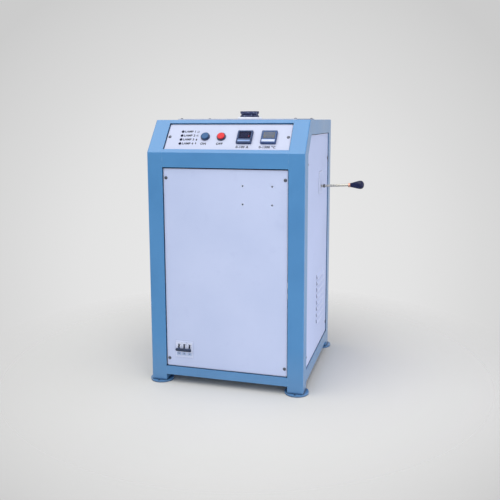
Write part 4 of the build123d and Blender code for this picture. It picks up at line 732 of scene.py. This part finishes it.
ammeter_middle = shift(console_parts, ammeter_x, meter_row)
controller_middle = shift(console_parts, controller_x, meter_row)
for name, centre, case_finish in (("ammeter", ammeter_middle, meter_case),
                                  ("temperature_controller", controller_middle, controller_case)):
    shape = bmesh.new()
    stack(shape, centre, [
        (44.6, 44.6, 2, -65, 0), (44.6, 44.6, 2, -3, 0), (48, 48, 2, -3, 0), (48, 48, 2, 2.9, 0),
        (47.4, 47.4, 2, 3.6, 0), (46, 46, 1.6, 4.0, 0), (40.6, 28.6, 1.0, 4.0, window_rise),
        (39, 27, 0.6, window_low, window_rise)])
    piece(f"{name}_case", shape, case_finish, [name])


def block(name, centre, size, rise, low, high, material, replaces=()):
    """A flat block with rounded corners, set `rise` millimetres above the middle of a meter."""
    mesh = bmesh.new()
    stack(mesh, centre, [(*size, 0.6, low, rise), (*size, 0.6, high, rise)])
    piece(name, mesh, material, replaces)


block("ammeter_display", ammeter_middle, (38.6, 26.6), window_rise, window_low, glass_top, glass_navy,
      ["meter_windows"])
block("controller_display", controller_middle, (35, 23), window_rise, window_low, glass_top, glass_grey)
shape = bmesh.new()
digits(shape, shift(ammeter_middle, -3, window_rise, glass_top), 3, 14)
piece("ammeter_digits", shape, bar_faint)
shape = bmesh.new()
plate(shape, shift(ammeter_middle, 13.5, 2.5, glass_top), rectangle(2.0, 2.0, 1.0), 0.0, 0.15)
piece("ammeter_point", shape, spark_red)
shape = bmesh.new()
digits(shape, shift(controller_middle, 0, window_rise + 4.6, glass_top), 4, 9.5)
digits(shape, shift(controller_middle, 0, window_rise - 6.6, glass_top), 4, 6.5)
piece("controller_digits", shape, bar_dark)

strip_low, strip_top = 3.9, 4.12  # the top stays clear of the key symbols when a key is pressed
block("ammeter_strip", ammeter_middle, (39, 6.4), -15.6, strip_low, strip_top, strip_plastic)
block("key_strip", controller_middle, (41, 9.0), -14.4, strip_low, strip_top, key_strip_plastic)
print("meters at x", round(ammeter_x, 1), "and", round(controller_x, 1))

# %% [markdown]
# ## Controller keys
# Four soft keys with plain symbols: set, shift, down and up. Each key and its symbol ride on the key's
# own body, so that the symbol goes down with the key.

# %% Controller keys
ink = finish("printed_ink", ("#05060c", "#0b0d18"), (0.5, 0.65), patch=4, grain=0.3, relief=0.002,
             edge=0.05, IOR=1.5, Specular_IOR_Level=0.15)
ink_height = 0.08
key_row = meter_row - 14.5
key_top = 4.8
set_mark = [(-1.1, 0), (-0.35, -0.75), (0.35, -0.75), (1.1, 0), (0.35, 0.75), (-0.35, 0.75)]
shift_mark = [(-1.1, 0), (0.7, -0.9), (0.7, 0.9)]
down_mark = [(0, -0.8), (1, 0.7), (-1, 0.7)]
up_mark = [(-1, -0.7), (1, -0.7), (0, 0.8)]
key_symbols = (set_mark, shift_mark, down_mark, up_mark)
for number, symbol in enumerate(key_symbols, 1):
    key = f"controller_key_{number}"
    shape = bmesh.new()
    spot = shift(console_parts, middle_x(key), key_row)
    stack(shape, spot, [(6, 3.2, 0.5, 2.8, 0), (6, 3.2, 0.5, 4.45, 0), (5.4, 2.6, 0.4, key_top, 0)])
    piece(f"key_cap_{number}", shape, key_plastic, [key], f"key_{number}")
    shape = bmesh.new()
    plate(shape, shift(spot, z=key_top), symbol, 0.0, 0.05)
    piece(f"key_symbol_{number}", shape, ink, body=f"key_{number}")
print("keys:", len(key_symbols))

# %% [markdown]
# ## Printed marks
# Plain generic marks in dark ink: ON and OFF under the buttons, a range under each meter, and a number
# with a small pictogram by each lamp. Lettering is set in Blender's own font, a little bold, and
# turned into thin mesh, because a picture of the words would blur close up.

# %% Printed marks
def lettering(mesh, where, text, tall):
    """Adds a line of lettering, centred, to a bmesh."""
    curve = bpy.data.curves.new("lettering", "FONT")
    curve.body = text
    curve.align_x, curve.align_y = "CENTER", "CENTER"
    curve.size = tall * 1.35
    curve.extrude = ink_height / 2
    curve.offset = 0.05 * tall
    curve.space_character = 1.08
    curve.resolution_u = 3
    temporary = bpy.data.objects.new("lettering", curve)
    flat = bpy.data.meshes.new_from_object(temporary)
    flat.transform(where @ Matrix.Translation((0, 0, ink_height / 2)))
    mesh.from_mesh(flat)
    bpy.data.objects.remove(temporary)
    bpy.data.curves.remove(curve)
    bpy.data.meshes.remove(flat)


def wave(x):
    """Outline of one upright wavy bar about x."""
    sides = [[(x + side + 0.35 * math.sin(t), -0.9 + t * 0.5) for t in range(6)] for side in (0.25, -0.25)]
    return sides[0] + sides[1][::-1]


# Pictograms as flat outlines: heat over a plate, a fan, a drop of water and a thermometer.
blade = [Vector(point) for point in ((0.3, 0.6), (1.2, 0.9), (1.1, 1.9), (0.2, 2.1), (-0.3, 1.4))]
thirds = [Matrix.Rotation(2 * math.pi * n / 3, 2) for n in range(3)]
drop_angles = [math.radians(angle) for angle in range(150, 391, 24)]
pictograms = (
    [[(-2, -2), (2, -2), (2, -1.5), (-2, -1.5)]] + [wave(x) for x in (-1.4, 0.0, 1.4)],
    [ring(12, 0.5)] + [[third @ point for point in blade] for third in thirds],
    [[(1.3 * math.cos(a), -0.7 + 1.3 * math.sin(a)) for a in drop_angles] + [(0, 2.2)]],
    [ring(14, 1.0), [(-0.45, 0.7), (0.45, 0.7), (0.45, 3.0), (-0.45, 3.0)]])
marks = bmesh.new()
caption_height, lamp_caption_height = 8.4, 8.0
button_caption_row, meter_caption_row = 38.0, 26.5
captions = (("ON", start_x - 2, button_caption_row), ("OFF", stop_x - 2, button_caption_row),
            ("0-100 A", ammeter_x - 3, meter_caption_row),
            ("0-1300 °C", controller_x - 1, meter_caption_row))
for text, across, along in captions:
    lettering(marks, shift(console_face, across, along), text, caption_height)
for number, (along, outlines) in enumerate(zip(lamp_rows, pictograms), 1):
    lettering(marks, shift(console_face, lamp_x + 25, along), f"LAMP {number}", lamp_caption_height)
    spot = shift(console_face, lamp_x + 51, along) @ Matrix.Scale(2.0, 4)
    for outline in outlines:
        plate(marks, spot, outline, 0.0, ink_height)
piece("console_marks", marks, ink)
print("marks:", ", ".join(text for text, across, along in captions), "and", len(lamp_rows), "lamps")

# %% [markdown]
# ## Shade strip
# A thin dark strip lies along the top of the front panel, where the joint to the rail is open. It is
# painted shade: it makes that joint read as one dark line. A thin flat plate is enough, since only
# its face shows.

# %% Shade strip
# Painted shade: a dark, matt strip in the open joint above the front panel.
gap_shade_strip = moulded("painted_gap_shade", "#0c1026", "#12162e", (0.7, 0.85), relief=0.03, specular=0.1)
rail_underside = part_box("front_cross_rails")[0].z / MM
gap_shade_length = (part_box("front_panel")[1].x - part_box("front_panel")[0].x) / MM
gap_shade_height, gap_shade_thickness = 3.2, 1.4
gap_shade_clearance = 0.1  # left between the strip and the rail
shape = bmesh.new()
plate(shape, shift(front, 0, rail_underside - gap_shade_clearance - gap_shade_height / 2),
      rectangle(gap_shade_length, gap_shade_height, 0.4), 0.0, gap_shade_thickness)
piece("panel_gap_shade", shape, gap_shade_strip)
# The strip is painted shade along the joint.
print("seal:", round(gap_shade_length), "mm long")

# %% [markdown]
# ## Breaker front
# The three-pole breaker shows through a window in the front panel, which has a pale plastic trim. Each
# pole gets a label with its two states, and a dark plate behind the slot of its handle as painted
# shade. The tied handles stay as the CAD has them: their material is painted black above the tie bar,
# as the shade they lie in.

# %% Breaker front
nose_low, nose_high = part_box("breaker_body")
breaker_x = middle_x("breaker_body")
breaker_z = (nose_low.z + nose_high.z) / 2 / MM
nose = place((0, nose_low.y / MM, 0), (1, 0, 0), (0, -1, 0))
pole_width = (nose_high.x - nose_low.x) / 3 / MM
poles = [shift(nose, breaker_x + n * pole_width, breaker_z) for n in (-1, 0, 1)]

handles = frame["nodes"]["breaker_toggle"]
handles_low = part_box("breaker_toggle")[0].z - handles.matrix_world.translation.z
bar_top = handles_low + 11.5 * MM
# Painted shade: the handles turn black above the tie bar.
inputs = (height_on(toggle_plastic), bar_top, bar_top + 1 * MM, 0.0, 1.0)
over(toggle_plastic, add(toggle_plastic, "ShaderNodeMapRange", inputs).outputs[0], "#080b16")

label_grey = moulded("breaker_label", "#9db0d6", "#abbcdf", (0.4, 0.5), relief=0.003)
trim_plastic = moulded("pale_window_trim", "#c9d3f1", "#d0d9f5", (0.4, 0.5), relief=0.004)
slot_shade = moulded("breaker_slot_shade", "#0a0c16", "#0e111d", (0.6, 0.7), relief=0.01, specular=0.1)
label_drop, label_thickness = 15.5, 0.2
labels = bmesh.new()
prints = bmesh.new()
shades = bmesh.new()
for pole in poles:
    plate(labels, shift(pole, 0, -label_drop), rectangle(14.5, 10, 0.8), 0.0, label_thickness, 0.1)
    lettering(prints, shift(pole, 0, -label_drop, label_thickness), "O", 3.6)
    lettering(prints, shift(pole, 5.4, 15), "I", 3.6)
    plate(shades, shift(pole, 0, 4), rectangle(5.8, 25.8, 0.3), -12.9, -12.5)
piece("breaker_labels", labels, label_grey)
piece("breaker_prints", prints, ink)
# Painted shade: dark plates behind the handle slots.
piece("breaker_slot_shade_plates", shades, slot_shade)

trim = bmesh.new()
flange, lining, opening = (60.0, 55.0, 1.5), (56.4, 51.4, 0.8), (54.8, 45.8, 0.6)
trim_face, lining_back = 0.8, -2.0
stack(trim, shift(front, breaker_x, breaker_z), [
    (*opening, lining_back, 0), (*opening, trim_face, 0), (*flange, trim_face, 0), (*flange, 0.0, 0),
    (*lining, 0.0, 0), (*lining, lining_back, 0), (*opening, lining_back, 0)], capped=False)
piece("breaker_trim", trim, trim_plastic)
print("breaker: 3 poles of", round(pole_width, 1), "mm about x", round(breaker_x, 1))

# %% [markdown]
# ## Lift lever
# The moulded knob swells and closes in one smooth curve. It shares the axis of the rod, which rises
# slightly outwards, with a lock nut that heat has flashed copper-pink and a stop ring near the cabinet.

# %% Lift lever
swing = next(joint for joint in frame["joints"] if joint["name"] == "lever_swing")
pivot = Vector(swing["pos_m"]) / MM
handle_rise = math.radians(3.0)
rod = place(pivot, (0, 1, 0), (math.cos(handle_rise), 0, math.sin(handle_rise)))
rod_radius = 4.0
nut_start, nut_end = 115.0, 121.6  # distances along the rod from the pivot
knob_start, knob_end = 122.0, 167.0
ring_start, ring_end = 32.0, 36.0


def hexagon(flats):
    """Corners of a hexagon by its width across flats."""
    return ring(6, flats / math.sqrt(3))


def curve_points(start, pull_start, pull_end, end, steps=14):
    """Points of a cubic curve between two (radius, height) points."""
    corners = (start, pull_start, pull_end, end)
    points = []
    for step in range(steps + 1):
        t = step / steps
        weights = ((1 - t) ** 3, 3 * t * (1 - t) ** 2, 3 * t * t * (1 - t), t ** 3)
        points.append([sum(w * point[n] for w, point in zip(weights, corners)) for n in (0, 1)])
    return points


shape = bmesh.new()
belly = knob_end - 12.5
belly_radius = 13.95
profile = [(rod_radius, knob_start), (6.4, knob_start), (6.9, knob_start + 0.5)]
profile += curve_points((7.0, knob_start + 1.5), (9.2, knob_start + 12), (13.4, belly - 9),
                        (belly_radius, belly))
profile += curve_points((belly_radius, belly), (14.3, belly + 7.5), (9, knob_end), (0.001, knob_end))[1:-1]
turn(shape, rod, profile + [(0, knob_end)])
piece("moulded_knob", shape, knob_plastic, ["lever_knob"], "lever")

copper_nut = finish("copper_flashed_nut", ("#b98877", "#cf9f8c"), (0.28, 0.4), patch=3,
                    grain=0.4, relief=0.006, edge=0.3, Metallic=1.0)
shape = bmesh.new()
plate(shape, rod, hexagon(13), nut_start, nut_end, 0.6)
turn(shape, rod, [(6.1, nut_end - 0.4), (6.1, knob_start), (rod_radius, knob_start)], 48)
piece("hex_lock_nut", shape, copper_nut, ["lever_nut"], "lever")

shape = bmesh.new()
ring_radius = 6.0
turn(shape, rod, [(rod_radius, ring_start), (ring_radius, ring_start), (ring_radius, ring_end),
                  (rod_radius, ring_end), (rod_radius, ring_start)], 48)
piece("rod_stop_ring", shape, gland_plastic, body="lever")
print("lever pivots at", [round(value, 1) for value in pivot])

# %% [markdown]
# ## Screws
# Pan-head screws with a cross recess hold each panel, each ringed by a thin dark ring, painted shade
# round its head. One head is cut with a boolean and copied to every hole, each turned a little
# differently, as screws end up.

# %% Screws
screw_inset = 10.0
post = 50.0  # width of the frame's square tube
screw_x = half_width - post - screw_inset
side_screw_z = (104.0, 709.0)
front_screw_z = (81.0, 666.0)
board_screw_y = (-100, 182)
fan_x, fan_z = 60.0, 200.0
fan_pitch = 105.0
head_radius, head_edge, head_top = 4.2, 0.9, 2.4
turn_between = 2.4  # radians from one screw to the next


def screw_head():
    """A pan head with a tapered cross recess, as a mesh in millimetres."""
    head = bmesh.new()
    profile = [(0, -1.0), (head_radius, -1.0)] + dome(head_radius, head_edge, head_top, 7)
    turn(head, Matrix.Identity(4), profile, 40)
    cutter = bmesh.new()
    for angle in (0, math.pi / 2):
        stack(cutter, Matrix.Rotation(angle, 4, "Z"), [(3.4, 0.7, 0.1, 0.9, 0), (4.8, 1.1, 0.1, 3.2, 0)])
    blank, blade = mesh_of(head, "screw_head"), mesh_of(cutter, "screw_recess")
    cut = blank.modifiers.new("recess", "BOOLEAN")
    cut.operation, cut.solver, cut.object = "DIFFERENCE", "EXACT", blade
    cut.use_self = True
    bpy.context.view_layer.update()
    result = bpy.data.meshes.new_from_object(blank.evaluated_get(bpy.context.evaluated_depsgraph_get()))
    for made in (blank, blade):
        bpy.data.objects.remove(made)
    return result


head = screw_head()
sides = (-1, 1)
spots = [shift(front, side * screw_x, z) for side in sides for z in front_screw_z]
spots += [shift(console_face, side * screw_x, button_row) for side in sides]
spots += [shift(panel, side * screw_x, z)
          for panel in (left, right, rear) for side in sides for z in side_screw_z]
spots += [shift(board, side * screw_x, y) for side in sides for y in board_screw_y]
spots += [shift(rear, side * fan_pitch / 2 - fan_x, fan_z + up * fan_pitch / 2)
          for side in sides for up in sides]
shape = bmesh.new()
for number, spot in enumerate(spots):
    copy = head.copy()
    copy.transform(spot @ Matrix.Rotation(number * turn_between, 4, "Z"))
    shape.from_mesh(copy)
    bpy.data.meshes.remove(copy)
piece("screw_heads", shape, screw_black, ["panel_screws"], sharp=30)
# Painted shade: a thin dark ring round each screw head.
screw_shade_rings = bmesh.new()
shade_ring_profile = [(2.4, 0), (5.0, 0), (5.0, 0.3), (4.7, 0.5), (2.4, 0.5), (2.4, 0)]
for spot in spots:
    turn(screw_shade_rings, spot, shade_ring_profile, 40)
piece("screw_head_shade_rings", screw_shade_rings, gland_plastic)
print("screws:", len(spots))

# %% [markdown]
# ## Drilled holes
# Four small holes wait for a data plate. Drilling chipped the enamel round each one; the near-black
# ring there and down the bore is that chipped edge and painted shade of the hole together.

# %% Drilled holes
plate_x, plate_z = 104.0, 618.0
hole_pitch = (92.0, 56.0)
# Chipped edge and painted shade of the hole, near black.
chipped_and_shaded = finish("chipped_edge_and_hole_shade", ("#0d1120", "#171d30"), (0.5, 0.65), patch=2,
                    grain=0.4, relief=0.01, edge=0.1, Specular_IOR_Level=0.2)
chips_and_shade = bmesh.new()
chip_and_shade_profile = [(1.95, -1.4), (2.7, -0.05), (2.6, 0.1), (1.95, 0.1), (1.95, -1.4)]
for side in sides:
    for up in sides:
        hole = shift(front, plate_x + side * hole_pitch[0] / 2, plate_z + up * hole_pitch[1] / 2)
        turn(chips_and_shade, hole, chip_and_shade_profile, 24)
piece("hole_edges", chips_and_shade, chipped_and_shaded)
print("holes:", len(sides) ** 2, "at", hole_pitch, "mm pitch")

# %% [markdown]
# ## Rear fittings
# Barbed hose tails on plated nuts and a domed cable gland with a ribbed cap, all through the rear
# panel. The barbs are one sawtooth profile, turned; the ribs are twelve copies of one flat outline.

# %% Rear fittings
tails_x, tail_z = (60.0, 100.0), 120.0
tail_end = (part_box("water_fittings")[1].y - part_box("rear_panel")[1].y) / MM
tail_bore, tail_root, barb_pitch = 4.0, -12.0, 5.8
tail_profile = [(tail_bore, tail_root), (6, tail_root), (6, 8)]
for n in range(4):
    tail_profile += [(4.9, 9.5 + n * barb_pitch), (6.0, 13.4 + n * barb_pitch)]
tail_profile += [(5.2, tail_end), (tail_bore, tail_end), (tail_bore, tail_root)]
shape = bmesh.new()
for across in tails_x:
    spot = shift(rear, across, tail_z)
    plate(shape, spot, hexagon(22), 0.0, 8.0, 0.9)
    turn(shape, spot, soften(tail_profile, 0.25, 2), 64)
piece("barbed_tails", shape, nickel, ["water_fittings"])

gland_x, gland_z = 150.0, 100.0
gland_bore, gland_root, gland_end = 6.5, -14.0, 23.0
cap_foot = 7.0  # the ribbed cap starts on top of the nut
shape = bmesh.new()
spot = shift(rear, gland_x, gland_z)
plate(shape, spot, hexagon(27), 0.0, cap_foot, 0.9)
cap_curve = curve_points((11.8, 9.5), (11.8, 17), (11.0, gland_end), (9.2, gland_end))
turn(shape, spot, [(gland_bore, gland_root), (10, gland_root), (10, cap_foot), (11.8, 7.4)] + cap_curve
     + [(gland_bore, gland_end), (gland_bore, gland_root)], 64)
rib = [(11.0, -0.8), (12.6, -0.5), (12.6, 0.5), (11.0, 0.8)]
for n in range(12):
    plate(shape, spot @ Matrix.Rotation(math.pi / 6 * n, 4, "Z"), rib, cap_foot, 14.0)
piece("domed_gland", shape, gland_plastic, ["cable_gland"])
print("tails end", round(tail_end, 1), "mm behind the rear panel")

# %% [markdown]
# ## Studio
# A pale backdrop with a brighter pool behind the furnace, which the camera and the gloss paint see, and
# a pale floor that takes the furnace's shadow and clears to that backdrop further out. One large soft
# lamp hangs overhead as the key, and a fill stands in front. A bluish side lamp and a low lamp open
# up the right side, and two small lamps light the floor's edge, as a pale floor throws light back up.

# %% Studio
camera_place = Vector((0.598, -2.113, 0.844))  # metres, to the right of the furnace at console height
toward_furnace = (Vector((0, 0, 0.35)) - camera_place).normalized()
pool_edge = 0.88  # cosine of the angle at which the pool of light has ended
shadow_floor = (0.38, 1.05)  # metres from the furnace's middle between which the floor clears


def backdrop(owner, direction):
    """Grey of the backdrop: a pool of light behind the furnace that falls off all round."""
    along = add(owner, "ShaderNodeVectorMath", {0: direction, 1: toward_furnace},
                operation="DOT_PRODUCT").outputs["Value"]
    greys = [(0.05, "#cccccc"), (0.5, "#dadada"), (0.75, "#e3e3e3"), (1.0, "#e8e8e8")]
    pool = add(owner, "ShaderNodeMapRange", (along, pool_edge, 1.0, 0.0, 1.0)).outputs[0]
    return add(owner, "ShaderNodeValToRGB", (pool,), greys).outputs["Color"]


def seen_directly(owner):
    """1 for rays from the camera, and for those that metal and glass send on; 0 for light on surfaces."""
    ray = add(owner, "ShaderNodeLightPath").outputs
    kinds = {0: ray["Is Camera Ray"], 1: ray["Is Glossy Ray"]}
    straight = add(owner, "ShaderNodeMath", kinds, operation="MAXIMUM").outputs[0]
    kinds = {0: straight, 1: ray["Is Transmission Ray"]}
    return add(owner, "ShaderNodeMath", kinds, operation="MAXIMUM").outputs[0]


def floor_paper():
    """Matt paper near the furnace, so it takes its shadow, and clear to the backdrop further out."""
    material = bpy.data.materials.new("studio_floor")
    material.use_nodes = True
    links = material.node_tree.links
    shader = material.node_tree.nodes["Principled BSDF"]
    greys = [(0.3, "#d3d2cf"), (0.7, "#d7d6d2")]
    paper = add(material, "ShaderNodeValToRGB", (mottle(material, 900, 2.0),), greys)
    links.new(paper.outputs["Color"], shader.inputs["Base Color"])
    shader.inputs["Roughness"].default_value = 0.9
    shader.inputs["Specular IOR Level"].default_value = 0.1
    where = add(material, "ShaderNodeTexCoord").outputs["Object"]
    away = add(material, "ShaderNodeVectorMath", {0: where}, operation="LENGTH").outputs["Value"]
    outer = add(material, "ShaderNodeMapRange", (away, *shadow_floor, 0.0, 1.0)).outputs[0]
    factors = (outer, seen_directly(material))
    share = add(material, "ShaderNodeMath", factors, operation="MULTIPLY").outputs[0]
    clear = add(material, "ShaderNodeBsdfTransparent")
    blend = add(material, "ShaderNodeMixShader", {0: share, 1: shader.outputs[0], 2: clear.outputs[0]})
    links.new(blend.outputs[0], material.node_tree.nodes["Material Output"].inputs["Surface"])
    return material


ground = bmesh.new()
floor_z = cad_box[0].z / MM
floor_radius = 60000
turn(ground, Matrix.Scale(MM, 4), [(0, floor_z), (floor_radius, floor_z)])
floor = mesh_of(ground, "studio_floor")
floor.data.materials.append(floor_paper())

world = bpy.data.worlds.new("studio")
bpy.context.scene.world = world
world.use_nodes = True
surround = world.node_tree.nodes["Background"]
surround.inputs["Color"].default_value = linear("#f4f5f8")
surround.inputs["Strength"].default_value = 0.6
direction = add(world, "ShaderNodeTexCoord").outputs["Generated"]
seen = add(world, "ShaderNodeBackground", {"Color": backdrop(world, direction)})
choice = {0: seen_directly(world), 1: surround.outputs[0], 2: seen.outputs[0]}
choose = add(world, "ShaderNodeMixShader", choice)
world.node_tree.links.new(choose.outputs[0], world.node_tree.nodes["World Output"].inputs["Surface"])


def softbox(name, origin, target, size, watts, tint="#ffffff"):
    """A square area lamp aimed at a point, its places and size in metres. Returns the lamp."""
    data = bpy.data.lights.new(name, "AREA")
    data.shape, data.size, data.energy = "SQUARE", size, watts
    data.color = linear(tint)[:3]
    lamp = bpy.data.objects.new(name, data)
    lamp.location = origin
    lamp.visible_camera = False
    lamp.rotation_euler = (Vector(target) - Vector(origin)).to_track_quat("-Z", "Y").to_euler()
    bpy.context.scene.collection.objects.link(lamp)
    return lamp


softbox("key_lamp", (-0.45, -1.2, 3.1), (0, -0.1, 0.6), 3.4, 73)
softbox("fill_lamp", (1.7, -2.7, 1.7), (0, 0, 0.35), 2.0, 16)
softbox("side_lamp", (2.7, 1.7, 1.7), (0.2, 0, 0.4), 2.2, 6, "#c4c6ee")
softbox("low_lamp", (1.7, -0.2, 0.5), (0.25, 0, 0.15), 1.0, 5.6, "#dfdff2")
skirts = (softbox("front_skirt_lamp", (0.8, -1.4, 0.12), (0.2, -0.25, 0.02), 0.2, 1.5),
          softbox("side_skirt_lamp", (1.3, -0.2, 0.12), (0.25, 0, 0.02), 0.2, 1.2))
for lamp in skirts:
    lamp.visible_glossy = False  # small and near, they would show as spots in the gloss paint
bpy.context.scene.view_settings.view_transform = "Standard"
print("studio: floor at", round(floor_z, 1), "mm, lamps:", len(bpy.data.lights))

# %% [markdown]
# ## Camera
# Eye level is just above the console, to the right of the furnace, looking slightly down. The lens is
# a little long, which keeps the cabinet's proportions, and its small shift only frames the furnace.

# %% Camera
lens_data = bpy.data.cameras.new("camera")
lens_data.lens = 46.6
lens_data.shift_x, lens_data.shift_y = -0.0013, -0.069
camera = bpy.data.objects.new("camera", lens_data)
yaw, pitch, roll = (math.radians(angle) for angle in (15.41, 8.42, -0.16))
heading = Matrix.Rotation(yaw, 4, "Z") @ Matrix.Rotation(math.pi / 2 - pitch, 4, "X")
camera.matrix_world = Matrix.Translation(camera_place) @ heading @ Matrix.Rotation(roll, 4, "Z")
bpy.context.scene.collection.objects.link(camera)
bpy.context.scene.camera = camera
print("camera", round(camera_place.length, 2), "m from the furnace's foot, lens", round(lens_data.lens, 1))
